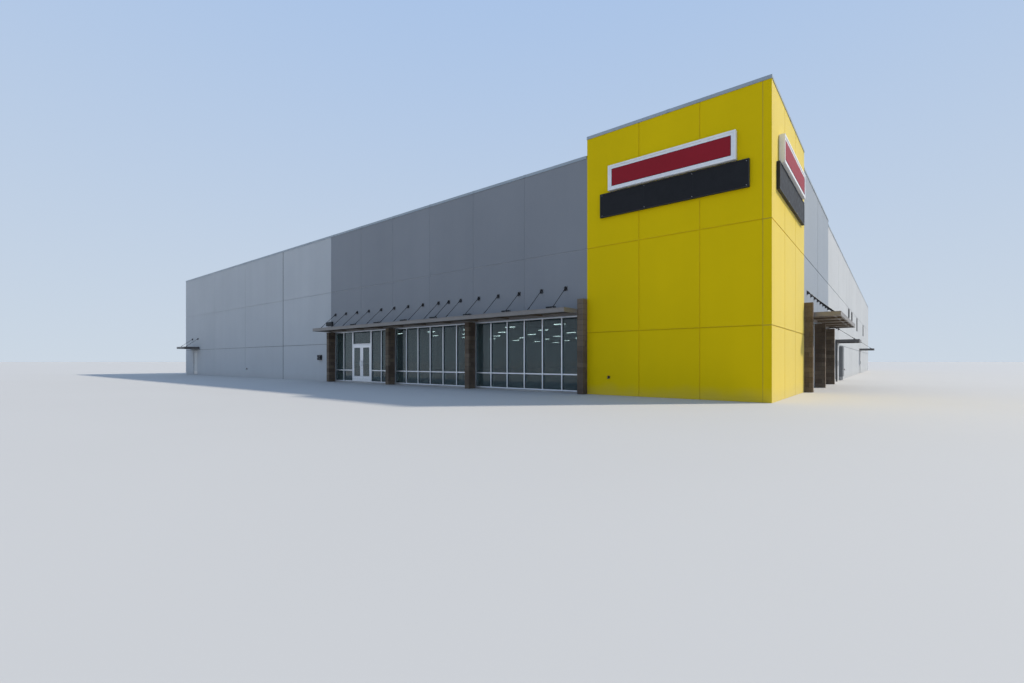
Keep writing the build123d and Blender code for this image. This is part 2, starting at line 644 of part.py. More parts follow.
large_canopy_top = HEAD_HEIGHT + CANOPY_HEIGHT
small_canopy_top = SMALL_CANOPY_LEVEL + CANOPY_HEIGHT
rod_seats = [FRONT.facing(place, large_canopy_top) for place in (*left_rods, last_left_rod, *right_rods)]
rod_seats += [LONG_SIDE.facing(place, large_canopy_top) for place in side_rods]
small_rod_seats = [
    side.facing(rod_place, small_canopy_top)
    for side, place in service_doors
    for rod_place in band(place, SMALL_ROD_SPREAD)
]
large_hanger = hanger(ROD_RISE)
small_hanger = hanger(SMALL_ROD_RISE)

with BuildPart() as canopy_rods:
    with Locations(*rod_seats):
        add(large_hanger)
    with Locations(*small_rod_seats):
        add(small_hanger)
keep(canopy_rods, "canopy_rods")

# Sign cabinets and the bands below them, centred on the two faces of the corner block
sign_faces = ((FRONT, TOWER_WIDTH / 2), (LONG_SIDE, TOWER_DEPTH / 2))
cabinet_level = SIGN_BAND_LEVEL + SIGN_BAND_HEIGHT + SIGN_GAP

with BuildPart() as sign_bands:
    for side, centre in sign_faces:
        band_height = (SIGN_BAND_LEVEL, SIGN_BAND_LEVEL + SIGN_BAND_HEIGHT)
        block(side, band(centre, SIGN_BAND_LENGTH), band_height, (-SIGN_BAND_DEPTH, 0))
keep(sign_bands, "sign_bands")

with BuildPart() as sign_cabinets:
    for side, centre in sign_faces:
        cabinet_height = (cabinet_level, cabinet_level + SIGN_CABINET_HEIGHT)
        block(side, band(centre, SIGN_CABINET_LENGTH), cabinet_height, (-SIGN_CABINET_DEPTH, 0))
keep(sign_cabinets, "sign_cabinets")

# Panes of the high windows, filling their holes
with BuildPart() as high_window_glass:
    for place, sill, head in high_windows:
        pane_depth = (HIGH_WINDOW_RECESS, HIGH_WINDOW_RECESS + GLASS_THICKNESS)
        block(LONG_SIDE, band(place, HIGH_WINDOW_WIDTH), (sill, head), pane_depth)
keep(high_window_glass, "high_window_glass")

# Fittings on the walls
with BuildPart() as wall_fittings:
    box_start = DARK_FRONT_END + WALL_BOX_DISTANCE
    box_rise = (WALL_BOX_LEVEL, WALL_BOX_LEVEL + WALL_BOX_SIZE)
    block(FRONT, (box_start, box_start + WALL_BOX_SIZE), box_rise, (-WALL_BOX_DEPTH, 0))
    taps = ((FRONT, TOWER_TAP_PLACE), (FRONT, FRONT_TAP_PLACE), (LONG_SIDE, SIDE_TAP_PLACE))
    for side, place in taps:
        block(side, band(place, TAP_SIZE), (TAP_LEVEL, TAP_LEVEL + TAP_SIZE), (-TAP_DEPTH, 0))
    spout_start = near_door - SMALL_CANOPY_WIDTH / 2 + SPOUT_DISTANCE
    spout_along = (spout_start, spout_start + SPOUT_WIDTH)
    block(LONG_SIDE, spout_along, (0, SMALL_CANOPY_LEVEL), (-SPOUT_WIDTH, 0))
    corner_start = DARK_FRONT_END - CORNER_BOX_OVERLAP
    corner_level = HEAD_HEIGHT + CANOPY_HEIGHT + CORNER_BOX_RISE
    corner_along = (corner_start, corner_start + CORNER_BOX_LENGTH)
    block(FRONT, corner_along, (corner_level, corner_level + CORNER_BOX_HEIGHT), (-CORNER_BOX_DEPTH, 0))
    utility_along = band(near_door + CABINET_DISTANCE, CABINET_WIDTH)
    block(LONG_SIDE, utility_along, (CABINET_BOTTOM, CABINET_TOP), (-CABINET_DEPTH, 0))
keep(wall_fittings, "wall_fittings")
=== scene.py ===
import math
import random

import bmesh
import bpy
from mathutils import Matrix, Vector


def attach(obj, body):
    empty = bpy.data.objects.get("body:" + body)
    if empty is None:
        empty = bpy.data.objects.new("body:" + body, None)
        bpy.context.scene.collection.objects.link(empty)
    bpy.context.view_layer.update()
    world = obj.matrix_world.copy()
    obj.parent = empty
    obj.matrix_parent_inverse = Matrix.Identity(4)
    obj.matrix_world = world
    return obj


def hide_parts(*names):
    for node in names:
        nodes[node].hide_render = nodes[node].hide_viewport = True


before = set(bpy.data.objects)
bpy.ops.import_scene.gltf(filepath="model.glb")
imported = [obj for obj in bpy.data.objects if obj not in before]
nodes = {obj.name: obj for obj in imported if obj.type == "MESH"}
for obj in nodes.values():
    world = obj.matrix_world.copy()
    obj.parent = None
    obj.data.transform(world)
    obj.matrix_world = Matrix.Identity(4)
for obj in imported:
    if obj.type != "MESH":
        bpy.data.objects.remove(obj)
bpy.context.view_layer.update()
scene = bpy.context.scene


def row(first, pitch, count):
    """Places along a wall, the first and the others at an even pitch."""
    return [first + i * pitch for i in range(count)]


# The building's outer faces and heights, in metres of the model, as the solids have them
RIGHT_X = 12.28
LEFT_X = -12.87
FRONT_Y = -16.205
BACK_Y = 16.795
FRONT_LENGTH = 25.15
SIDE_LENGTH = 33
WALL = 0.12
SLAB = 0.03
ROOF = 4.06
PARAPET = 4.5
LOW_PARAPET = 4.37
TOWER_WIDTH = 3.1
TOWER_DEPTH = 3.2
TOWER_TOP = 4.85
COPING_DROP = 0.06

# Where the dark paint ends, the pitch of the light panels, and the two lines cast in every wall
DARK_FRONT_END = 12.1
DARK_SIDE_END = 7.65
PANEL = 3.13
REVEAL_WIDTH = 0.018
REVEAL_LEVELS = (1.155, 2.735)

# Shop windows between masonry fins, and the canopies over them
HEAD = 1.5
MULLION = 0.025
MIDDLE_RAIL = (0.3475, 0.3725)
FIN_WIDTH = 0.13
FIN_DEPTH = 0.15
TALL_FIN = 1.79
FRONT_BAY = (9 - FIN_WIDTH) / 3
SIDE_BAY = (4.45 - FIN_WIDTH) / 2
FRONT_FINS = row(TOWER_WIDTH, FRONT_BAY, 4)
SIDE_FINS = row(TOWER_DEPTH, SIDE_BAY, 3)
FRONT_CANOPY = (FRONT_FINS[0] + FIN_WIDTH, DARK_FRONT_END)
SIDE_CANOPY = (SIDE_FINS[0] + FIN_WIDTH, DARK_SIDE_END)
CANOPY_HEIGHT = 0.1
CANOPY_REACH = 0.6
SMALL_CANOPY = 1.185
SMALL_CANOPY_WIDTH = 1.04

# Door openings and leaves
ENTRANCE_HEAD = 1.105
DOOR_GAP = 0.0065
DOORWAY = 0.52
DOORWAY_HEAD = 1.134
SERVICE_LEAF = 0.455


class Face:
    """One face of the building: places along it, depths behind it and heights become points."""

    def __init__(self, corner, along, inward):
        self.corner = Vector((*corner, 0))
        self.along = Vector((*along, 0))
        self.inward = Vector((*inward, 0))

    def at(self, along, depth, height):
        up = Vector((0, 0, height))
        return self.corner + self.along * along + self.inward * depth + up

    def line(self, *places):
        """Points on the ground at places along the face, or at (place, depth) pairs."""
        pairs = [place if isinstance(place, tuple) else (place, 0) for place in places]
        return [self.at(along, depth, 0) for along, depth in pairs]


FRONT = Face((RIGHT_X, FRONT_Y), (-1, 0), (0, 1))
SIDE = Face((RIGHT_X, FRONT_Y), (0, 1), (-1, 0))
LEFT = Face((LEFT_X, FRONT_Y), (0, 1), (1, 0))
BACK = Face((RIGHT_X, BACK_Y), (-1, 0), (0, -1))
SERVICE_DOORS = ((FRONT, 23.85), (SIDE, 10.15), (SIDE, 23))


def band(centre, width):
    return (centre - width / 2, centre + width / 2)


def grow(span, amount):
    """The span with both ends moved outward, or inward where amount is below 0."""
    return (span[0] - amount, span[1] + amount)


def raised(profile, level):
    return [(depth, level + height) for depth, height in profile]


def set_up(thing, **settings):
    for key, value in settings.items():
        setattr(thing, key, value)
    return thing


def placed(name, data):
    thing = bpy.data.objects.new(name, data)
    scene.collection.objects.link(thing)
    return thing


def add_node(tree, kind, inputs=None, **settings):
    """A node with its settings; inputs holds a value or a socket to link for each input."""
    made = set_up(tree.nodes.new(kind), **settings)
    for key, value in (inputs or {}).items():
        if isinstance(value, bpy.types.NodeSocket):
            tree.links.new(value, made.inputs[key])
        else:
            made.inputs[key].default_value = value
    return made


class Shader:
    """A procedural material, with short calls for the nodes that most of them use."""

    def __init__(self, name, roughness, metallic=0, gloss=0.5, **sockets):
        self.mat = bpy.data.materials.new(name)
        self.mat.use_nodes = True
        self.tree = self.mat.node_tree
        self.surface = self.tree.nodes["Principled BSDF"]
        sockets.update(Roughness=roughness, Metallic=metallic, Specular_IOR_Level=gloss)
        for key, value in sockets.items():
            self.surface.inputs[key.replace("_", " ")].default_value = value
        self.place = self.node("ShaderNodeTexCoord").outputs["Object"]

    def node(self, kind, inputs=None, **settings):
        return add_node(self.tree, kind, inputs, **settings)

    def noise(self, scale, stretch=(1, 1, 1), detail=4):
        """Noise between 0 and 1, its grain scale per metre and stretched along the axes."""
        inputs = {0: self.place, 1: stretch}
        place = self.node("ShaderNodeVectorMath", inputs, operation="MULTIPLY").outputs[0]
        inputs = {"Vector": place, "Scale": scale, "Detail": detail}
        return self.node("ShaderNodeTexNoise", inputs).outputs[0]

    def remap(self, value, low, high, new_low=0, new_high=1):
        inputs = {0: value, 1: low, 2: high, 3: new_low, 4: new_high}
        return self.node("ShaderNodeMapRange", inputs).outputs[0]

    def patches(self, scale, low, high, new_low=0, new_high=1, **kind):
        """Noise with its values from low to high spread out from new_low to new_high."""
        return self.remap(self.noise(scale, **kind), low, high, new_low, new_high)

    def stained(self, tone, colour, scale, low, high, most=1, **kind):
        """The tone with patches that have up to most of the colour."""
        return self.mix(self.patches(scale, low, high, 0, most, **kind), tone, colour)

    def math(self, operation, first, second=0):
        return self.node("ShaderNodeMath", {0: first, 1: second}, operation=operation).outputs[0]

    def mix(self, factor, first, second, blend="MIX"):
        colours = [c if isinstance(c, bpy.types.NodeSocket) else (*c, 1) for c in (first, second)]
        inputs = {0: factor, 6: colours[0], 7: colours[1]}
        return self.node("ShaderNodeMix", inputs, data_type="RGBA", blend_type=blend).outputs[2]

    def times(self, tone, colour):
        return self.mix(1, tone, colour, "MULTIPLY")

    def own_number(self, x, y=0):
        """A number between 0 and 1 that belongs to whole numbers x and y."""
        place = self.node("ShaderNodeCombineXYZ", {0: x, 1: y}).outputs[0]
        return self.node("ShaderNodeTexWhiteNoise", {"Vector": place}).outputs[0]

    def axis(self, letter):
        return self.node("ShaderNodeSeparateXYZ", {0: self.place}).outputs[letter]

    def link(self, **values):
        for key, value in values.items():
            self.tree.links.new(value, self.surface.inputs[key.replace("_", " ")])

    def finish(self, colour, roughness, height, distance, strength):
        """The material with its colour, roughness and bump wired up."""
        inputs = {"Height": height, "Distance": distance, "Strength": strength}
        self.link(Base_Color=colour, Normal=self.node("ShaderNodeBump", inputs).outputs[0])
        if roughness:
            self.link(Roughness=roughness)
        return self.mat


def shade(colour, factor):
    return tuple(channel * factor for channel in colour)


def outside_mask(look):
    """1 near the four outer faces of the building, 0 in its rooms."""
    recess = 0.062
    mask = 0
    for letter, low, high in (("X", LEFT_X, RIGHT_X), ("Y", FRONT_Y, BACK_Y)):
        place = look.axis(letter)
        for test, edge in (("LESS_THAN", low + recess), ("GREATER_THAN", high - recess)):
            mask = look.math("MAXIMUM", mask, look.math(test, place, edge))
    return mask


def panel_tone(look, panels):
    """A number for each cast panel; panels holds the first joint and the pitch on X and Y."""
    steps = []
    for letter, (first, pitch) in zip("XY", panels):
        offset = look.math("SUBTRACT", look.axis(letter), first)
        steps.append(look.math("FLOOR", look.math("DIVIDE", offset, pitch)))
    return look.own_number(*steps)


ROOM_PAINT = (0.5, 0.51, 0.5)
SPLASHED_DIRT = (0.28, 0.26, 0.23)
PAINT_SHEEN = {"Sheen_Roughness": 0.3, "Sheen_Tint": (0.72, 0.88, 1, 1)}
MEMBRANE = ((0.4, 0.41, 0.41), (0.47, 0.48, 0.48))
ROOF_SHEET = 1.55
FIRST_LAP = 1.6


def painted_concrete(name, colour, panels=None, masked=True, gloss=0.3, sheen=0, painted_reveal_shading=()):
    """Masonry paint on cast panels: cloudy tone, faint run marks and dirt at the foot.

    The last argument holds the paint's tone in each cast line against the wall: painted shade in
    the reveal where below 1, and painted light against the reveal's own shade where above 1.
    """
    look = Shader(name, 0.6, gloss=gloss, Sheen_Weight=sheen, **PAINT_SHEEN)
    stipple = look.noise(95, detail=3)
    tone = look.stained(shade(colour, 0.97), shade(colour, 1.03), 0.55, 0.32, 0.68)
    runs = look.times(tone, (0.965, 0.965, 0.97))
    tone = look.stained(tone, runs, 2.2, 0.35, 0.7, stretch=(1, 1, 0.07), detail=6)
    if panels:
        deep = look.times(tone, (0.97, 0.971, 0.973))
        tone = look.mix(panel_tone(look, panels), tone, deep)
    uneven = look.patches(3, 0, 1, -0.12, 0.12)
    foot = look.remap(look.math("ADD", look.axis("Z"), uneven), 0, 0.22, 0.5, 0)
    tone = look.mix(foot, tone, look.mix(0.35, colour, SPLASHED_DIRT))
    # Painted shade, or painted light, in each cast reveal line
    for level, share in zip(REVEAL_LEVELS, painted_reveal_shading):
        distance = look.math("ABSOLUTE", look.math("SUBTRACT", look.axis("Z"), level))
        inside = look.math("LESS_THAN", distance, REVEAL_WIDTH / 2)
        tone = look.mix(inside, tone, look.times(tone, (share, share, share)))
    if masked:
        tone = look.mix(outside_mask(look), ROOM_PAINT, tone)
    rough = look.remap(stipple, 0.3, 0.7, 0.55, 0.72)
    relief = look.math("ADD", stipple, look.math("MULTIPLY", look.noise(1.3), 2.5))
    return look.finish(tone, rough, relief, 0.0012, 0.55)


def satin_metal(name, colour, roughness=0.42, metallic=0, grime=0.1, wave=0.0015, **sockets):
    """Factory-finished sheet metal: slight oil-canning, dusty streaks and uneven gloss."""
    look = Shader(name, roughness, metallic, **sockets)
    tone = look.stained(shade(colour, 0.93), shade(colour, 1.06), 1.7, 0.35, 0.7)
    dust = look.mix(grime * 2, colour, (0.35, 0.33, 0.3))
    tone = look.stained(tone, dust, 6, 0.4, 0.72, 0.5, stretch=(1, 1, 0.15), detail=5)
    rough = look.patches(14, 0.3, 0.7, roughness - 0.08, roughness + 0.1)
    return look.finish(tone, rough, look.noise(2.6, detail=2), wave, 0.6)


def brushed_metal(name, colour, roughness=0.38):
    """Clear-coated extrusion with fine die lines along its length."""
    look = Shader(name, roughness, 0.85)
    tone = look.mix(look.noise(4), shade(colour, 0.93), shade(colour, 1.04))
    lines = look.noise(420, (1, 1, 0.03), 2)
    rough = look.remap(lines, 0.3, 0.7, roughness - 0.03, roughness + 0.04)
    return look.finish(tone, rough, lines, 0.0001, 0.15)


def rough_masonry():
    """Dark split block: each block has its own tone, with speckled aggregate."""
    look = Shader("masonry_block", 0.88, gloss=0.25)
    own = look.node("ShaderNodeAttribute", attribute_name="tone").outputs["Fac"]
    tone = look.mix(own, (0.078, 0.055, 0.039), (0.163, 0.124, 0.088))
    tone = look.stained(tone, (0.24, 0.195, 0.155), 150, 0.42, 0.72, 0.55, detail=5)
    stain = (0.045, 0.034, 0.028)
    tone = look.stained(tone, stain, 4.5, 0.45, 0.75, 0.4, stretch=(1, 1, 0.3))
    grain = look.math("ADD", look.noise(70, detail=6), look.noise(240, detail=3))
    return look.finish(tone, None, grain, 0.0035, 0.8)


def speckled(name, colours, scale, roughness, bump=0.001, **sockets):
    """Two tones of one colour in a fine grain, for mortar, rubber, membrane and the like."""
    look = Shader(name, roughness, **sockets)
    grain = look.noise(scale, detail=5)
    both = look.math("ADD", grain, look.noise(scale / 25))
    tone = look.mix(look.remap(both, 0.72, 1.28), *colours)
    rough = look.remap(grain, 0.3, 0.7, roughness - 0.06, roughness + 0.06)
    return look.finish(tone, rough, grain, bump, 0.6)


def trowelled_floor():
    """Machine-trowelled slab with sawn joints and a soft sheen."""
    look = Shader("trowelled_concrete", 0.45)
    half_pitch, half_cut = 1.5, 0.004
    tone = look.stained((0.3, 0.29, 0.28), (0.42, 0.41, 0.39), 0.9, 0.35, 0.65, detail=8)
    for letter in "XY":
        distance = look.math("PINGPONG", look.axis(letter), half_pitch)
        tone = look.mix(look.math("LESS_THAN", distance, half_cut), tone, (0.12, 0.12, 0.12))
    rough = look.patches(5, 0.3, 0.7, 0.32, 0.6)
    return look.finish(tone, rough, look.noise(30), 0.0006, 0.5)


def roof_sheet():
    """Single-ply roofing in lapped sheets, with dust along the laps and dried ponding marks."""
    look = Shader("roof_sheet", 0.58)
    tone = look.mix(look.noise(1.1, detail=6), *MEMBRANE)
    offset = look.math("SUBTRACT", look.axis("X"), RIGHT_X - FIRST_LAP)
    lap = look.math("PINGPONG", offset, ROOF_SHEET / 2)
    lap = look.math("ADD", lap, look.patches(7, 0, 1, -0.05, 0.05))
    tone = look.mix(look.remap(lap, 0.02, 0.11, 0.55, 0), tone, (0.27, 0.265, 0.25))
    tone = look.stained(tone, (0.3, 0.29, 0.27), 0.28, 0.54, 0.66, 0.35, detail=5)
    sheet = look.math("FLOOR", look.math("DIVIDE", offset, ROOF_SHEET))
    tone = look.mix(look.own_number(sheet), tone, look.times(tone, (0.9, 0.9, 0.9)))
    rough = look.patches(12, 0.3, 0.7, 0.5, 0.66)
    return look.finish(tone, rough, look.noise(3.5, detail=3), 0.004, 0.5)


def tinted_glass(name, tint):
    """Tinted insulating glass with very slight roller waves."""
    least = 0.015
    look = Shader(name, least, IOR=1.46, Transmission_Weight=0.9, gloss=0.36)
    dust = (0.3, 0.33, 0.34)
    tone = look.stained(tint, dust, 5, 0.45, 0.8, 0.22, stretch=(1, 1, 0.4), detail=6)
    rough = look.patches(18, 0.35, 0.75, least, least + 0.03)
    return look.finish(tone, rough, look.noise(0.9, (1, 1, 2.2), 1), 0.004, 0.1)


def lamp_diffuser():
    """An opal lens that glows along its length."""
    look = Shader("lamp_diffuser", 0.4, Emission_Strength=5)
    glow = look.patches(3, 0.3, 0.7, detail=2)
    look.link(Base_Color=look.mix(glow, (0.8, 0.8, 0.78), (0.88, 0.88, 0.86)))
    look.link(Emission_Color=look.mix(glow, (0.86, 0.9, 0.88), (1, 0.98, 0.94)))
    return look.mat


# Wall paints. The panels of each are given by the first joint and the pitch on X and Y
YELLOW = (0.73, 0.52, 0.002)
DARK_GREY = (0.224, 0.233, 0.25)
LIGHT_GREY = (0.47, 0.484, 0.494)
REAR_GREY = (0.47, 0.48, 0.49)
DARK_PANELS = ((RIGHT_X - TOWER_WIDTH, FRONT_BAY / 2), (FRONT_Y + TOWER_DEPTH, SIDE_BAY))
LIGHT_PANELS = ((RIGHT_X - DARK_FRONT_END, PANEL), (FRONT_Y + DARK_SIDE_END, PANEL))
REAR_PANELS = ((RIGHT_X, PANEL), (FRONT_Y, PANEL))
# The reveal tones paint shade into the reveals, and paint light into the dark wall's upper reveal
# against its own shade
yellow_paint = painted_concrete("yellow_paint", YELLOW, gloss=0.05, sheen=0.5, painted_reveal_shading=(0.82, 0.93))
yellow_return_paint = painted_concrete(
    "yellow_return_paint", YELLOW, masked=False, gloss=0.05, sheen=0.5
)
dark_paint = painted_concrete(
    "dark_grey_paint", DARK_GREY, DARK_PANELS, gloss=0.5, sheen=0.45, painted_reveal_shading=(1, 1.32)
)
light_paint = painted_concrete("light_grey_paint", LIGHT_GREY, LIGHT_PANELS, painted_reveal_shading=(0.55, 1))
rear_paint = painted_concrete("rear_grey_paint", REAR_GREY, REAR_PANELS, painted_reveal_shading=(0.55, 1))

# Metals
service_paint = satin_metal("service_door_paint", (0.36, 0.37, 0.38), 0.4)
pale_service_paint = satin_metal("pale_door_paint", (0.52, 0.53, 0.53))
coping_metal = satin_metal("coping_metal", (0.33, 0.37, 0.4), 0.38, 0.2, 0.08, 0.003)
cover_metal = satin_metal("cover_metal", (0.3, 0.34, 0.37), 0.36, 0.2)
canopy_paint = satin_metal("canopy_paint", (0.222, 0.2, 0.185), metallic=0.1)
bronze = satin_metal("bronze_paint", (0.095, 0.09, 0.088), metallic=0.1)
# Canopy underside boards and joists: darker and browner than the canopy paint, as painted shade
# under the canopy and painted yellow light bounced up from the block
soffit_painted_shade_and_bounce = satin_metal("soffit_painted_shade_and_bounce", (0.15, 0.112, 0.076), 0.5, grime=0.05)
rod_paint = satin_metal("rod_paint", (0.022, 0.022, 0.024), 0.5, 0.1, 0.04, gloss=0.35)
black = satin_metal("fitting_paint", (0.02, 0.021, 0.023), 0.52, grime=0.03, gloss=0.3)
cabinet_paint = satin_metal("cabinet_paint", (0.17, 0.18, 0.19), 0.46)
zinc = satin_metal("galvanised_steel", (0.42, 0.43, 0.44), metallic=0.7)
sign_black = satin_metal("sign_black", (0.012, 0.012, 0.014), 0.52, 0, 0.005, 0.0003, gloss=0.2)
steel = brushed_metal("stainless_steel", (0.62, 0.61, 0.6), 0.3)
brass = brushed_metal("weathered_brass", (0.1, 0.092, 0.08), 0.46)
alloy = brushed_metal("window_aluminium", (0.76, 0.78, 0.82))

# Grained stuffs, each with its darkest and its palest tone
masonry = rough_masonry()
mortar = speckled("mortar", ((0.055, 0.046, 0.04), (0.095, 0.08, 0.07)), 140, 0.92, 0.002)
BLACKS = ((0.012, 0.012, 0.013), (0.022, 0.022, 0.023))
slot_paint = speckled("slot_paint", BLACKS, 60, 0.85, gloss=0.05)
rubber = speckled("gasket_rubber", ((0.012, 0.012, 0.013), (0.03, 0.03, 0.031)), 120, 0.6)
light_sealant, joint_cover, dark_sealant, deep_sealant, yellow_sealant_and_reveal_shade = [
    speckled(name, colours, 90, roughness) for name, roughness, colours in (
        ("light_sealant", 0.7, ((0.455, 0.467, 0.477), (0.495, 0.507, 0.517))),
        ("joint_cover", 0.85, ((0.01, 0.01, 0.011), (0.018, 0.018, 0.019))),
        ("dark_sealant", 0.7, ((0.232, 0.241, 0.259), (0.252, 0.261, 0.28))),
        ("deep_sealant", 0.7, ((0.222, 0.23, 0.247), (0.242, 0.251, 0.269))),
        # Darker yellow for the tower's corner joint, and for the painted reveal shade across that
        # corner
        ("yellow_sealant_and_reveal_shade", 0.7, ((0.44, 0.305, 0.008), (0.52, 0.365, 0.01))),
    )
]
lap_membrane = speckled("lap_membrane", MEMBRANE, 30, 0.6, 0.0015)
WHITES = ((0.76, 0.76, 0.77), (0.84, 0.84, 0.84))
REDS = ((0.255, 0.004, 0.012), (0.295, 0.006, 0.016))
ENAMELS = ((0.62, 0.62, 0.61), (0.7, 0.7, 0.69))
sign_white = speckled("sign_white", WHITES, 22, 0.36, 0.0003)
sign_red = speckled("sign_red", REDS, 22, 0.48, 0.0003, gloss=0.22)
white_enamel = speckled("white_enamel", ENAMELS, 25, 0.5, 0.0003)

# Roofing, floor, glass and lamp lenses
membrane = roof_sheet()
floor_finish = trowelled_floor()
shop_glass = tinted_glass("shop_glass", (0.3, 0.42, 0.43))
slot_glass = tinted_glass("high_window_tint", (0.1, 0.12, 0.13))
diffuser = lamp_diffuser()

BOX_FACES = ((0, 1, 3, 2), (4, 6, 7, 5), (0, 4, 5, 1), (2, 3, 7, 6), (0, 2, 6, 4), (1, 5, 7, 3))
TOUCH = 1e-6


class Piece:
    """One named mesh, gathered from blocks, bars, prisms and swept profiles."""

    def __init__(self, name):
        self.name = name
        self.mesh = bmesh.new()
        self.tone = self.mesh.faces.layers.float.new("tone")
        self.materials = []
        self.random = random.Random(name)

    def face(self, corners, mat, tone=0.5, smooth=False):
        if mat not in self.materials:
            self.materials.append(mat)
        made = self.mesh.faces.new(corners)
        made.material_index = self.materials.index(mat)
        made[self.tone] = tone
        made.smooth = smooth
        return made

    def block(self, face, along, depth, height, mat, tone=0.5):
        corners = [
            self.mesh.verts.new(face.at(a, d, z)) for a in along for d in depth for z in height
        ]
        return [self.face([corners[i] for i in loop], mat, tone) for loop in BOX_FACES]

    def rough_block(self, face, along, depth, height, mat, tone, relief):
        """A block whose faces are split: its points lie up to relief inside its box."""
        made = self.block(face, along, depth, height, mat, tone)
        edges = list(dict.fromkeys(edge for item in made for edge in item.edges))
        low = face.at(along[0], depth[0], height[0])
        high = face.at(along[1], depth[1], height[1])
        cut = bmesh.ops.subdivide_edges(self.mesh, edges=edges, cuts=2, use_grid_fill=True)
        points = [vert for edge in edges if edge.is_valid for vert in edge.verts]
        for key in ("geom_inner", "geom"):
            points += [item for item in cut[key] if isinstance(item, bmesh.types.BMVert)]
        for vert in dict.fromkeys(points):
            for axis in range(3):
                place = vert.co[axis]
                if abs(place - low[axis]) < TOUCH or abs(place - high[axis]) < TOUCH:
                    towards = 1 if place < (low[axis] + high[axis]) / 2 else -1
                    vert.co[axis] += towards * relief * self.random.random()

    def surround(self, face, along, height, width, depth, mat):
        """Four strips round the inside of an opening."""
        inner = grow(along, -width)
        self.block(face, (along[0], inner[0]), depth, height, mat)
        self.block(face, (inner[1], along[1]), depth, height, mat)
        self.block(face, inner, depth, (height[0], height[0] + width), mat)
        self.block(face, inner, depth, (height[1] - width, height[1]), mat)

    def prism(self, rings, mat, smooth=False):
        """Joins rings of points, each as long as the next, into one closed skin."""
        verts = [[self.mesh.verts.new(point) for point in ring] for ring in rings]
        for first, second in zip(verts, verts[1:]):
            for i in range(len(first)):
                j = (i + 1) % len(first)
                self.face([first[i], first[j], second[j], second[i]], mat, smooth=smooth)
        for ring in (verts[0], verts[-1]):
            for edge in self.face(ring, mat).edges:
                edge.smooth = False

    def section(self, face, along, profile, mat):
        """A profile of (depth, height) points, drawn out along the wall."""
        self.prism([[face.at(a, d, z) for d, z in profile] for a in along], mat)

    def upright(self, face, outline, height, mat):
        """An outline of (along, depth) points, drawn out upward."""
        self.prism([[face.at(a, d, z) for a, d in outline] for z in height], mat)

    def tube(self, points, radii, mat, sides):
        """A round bar through points, with one radius or one for each point."""
        sizes = radii if isinstance(radii, list) else [radii] * len(points)
        rings = []
        for i, point in enumerate(points):
            before = points[max(i - 1, 0)]
            after = points[min(i + 1, len(points) - 1)]
            direction = (after - before).normalized()
            side = direction.cross(Vector((0.13, 0.27, 0.95))).normalized()
            up = direction.cross(side)
            ring = [2 * math.pi * k / sides for k in range(sides)]
            ring = [(side * math.cos(turn) + up * math.sin(turn)) * sizes[i] for turn in ring]
            rings.append([point + offset for offset in ring])
        self.prism(rings, mat, smooth=sides > 8)

    def rod(self, face, along, depth, height, radius, mat, sides):
        """A round bar: one of along, depth and height is a pair with its two ends."""
        ends = [v if isinstance(v, tuple) else (v, v) for v in (along, depth, height)]
        self.tube([face.at(*point) for point in zip(*ends)], radius, mat, sides)

    def sweep(self, path, inward, profile, mat, segments=None, closed=False):
        """A profile of (inward distance, height) points along a path, mitred at its corners."""
        lines = len(inward)
        for k in range(lines) if segments is None else segments:
            rings = []
            for i in (k, (k + 1) % len(path)):
                if closed:
                    first, second = inward[(i - 1) % lines], inward[i % lines]
                else:
                    first, second = inward[max(i - 1, 0)], inward[min(i, lines - 1)]
                spread = (first + second) / (1 + first.dot(second))
                rings.append([path[i] + spread * d + Vector((0, 0, z)) for d, z in profile])
            self.prism(rings, mat)

    def done(self, bevel=0, replaces=None, segments=1, body="building"):
        bmesh.ops.recalc_face_normals(self.mesh, faces=self.mesh.faces)
        data = bpy.data.meshes.new(self.name)
        self.mesh.to_mesh(data)
        self.mesh.free()
        for mat in self.materials:
            data.materials.append(mat)
        thing = placed(self.name, data)
        if bevel:
            edges = thing.modifiers.new("edges", "BEVEL")
            set_up(edges, width=bevel, segments=segments, limit_method="ANGLE")
            edges.angle_limit = math.radians(40)
        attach(thing, body)
        if replaces:
            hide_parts(replaces)


# Materials of the CAD nodes that stay
CARRIED = (
    (floor_finish, "floor_slab"),
    (membrane, "roof_deck"),
    (yellow_paint, "tower_front_wall tower_side_wall"),
    (yellow_return_paint, "tower_left_return tower_rear_return"),
    (dark_paint, "front_dark_wall side_dark_wall"),
    (light_paint, "front_light_wall_right front_light_wall_left door_head_walls"),
    (light_paint, "side_light_wall_near side_light_wall_middle side_light_wall_far"),
    (rear_paint, "left_wall back_wall"),
    (alloy, "front_window_frames side_window_frames entrance_transom_frame"),
    (alloy, "entrance_door_left entrance_door_right"),
    (shop_glass, "front_window_glass side_window_glass"),
    (shop_glass, "entrance_door_left_glass entrance_door_right_glass"),
    (slot_glass, "high_window_glass"),
    (pale_service_paint, "front_service_door"),
    (service_paint, "side_service_door_near side_service_door_far service_door_frames"),
)
for mat, names in CARRIED:
    for name in names.split():
        mats = nodes[name].data.materials
        if mats:
            for i in range(len(mats)):
                mats[i] = mat
        else:
            mats.append(mat)

# Metal copings: a folded cap with drip edges, and a cover plate at each joint between lengths
CAP_STAND = 0.0055
COVER_STAND = 0.0016
COVER_LENGTH = 0.07
CAP_GAP = 0.0005


def cap_profile(top, stand=0):
    """The cap's outline round the head of a wall; stand is how far it lies over the cap."""
    low, hem = top - COPING_DROP, top - COPING_DROP + 0.008
    outer = -CAP_STAND - stand
    inner = WALL + CAP_STAND + stand
    crest = top - 0.002 + stand
    return [
        (-0.01, low), (outer, hem), (outer, crest - 0.0015), (outer + 0.0015, crest),
        (inner - 0.0015, crest - 0.006), (inner, crest - 0.0075), (inner, hem),
        (WALL + 0.01, low),
    ]


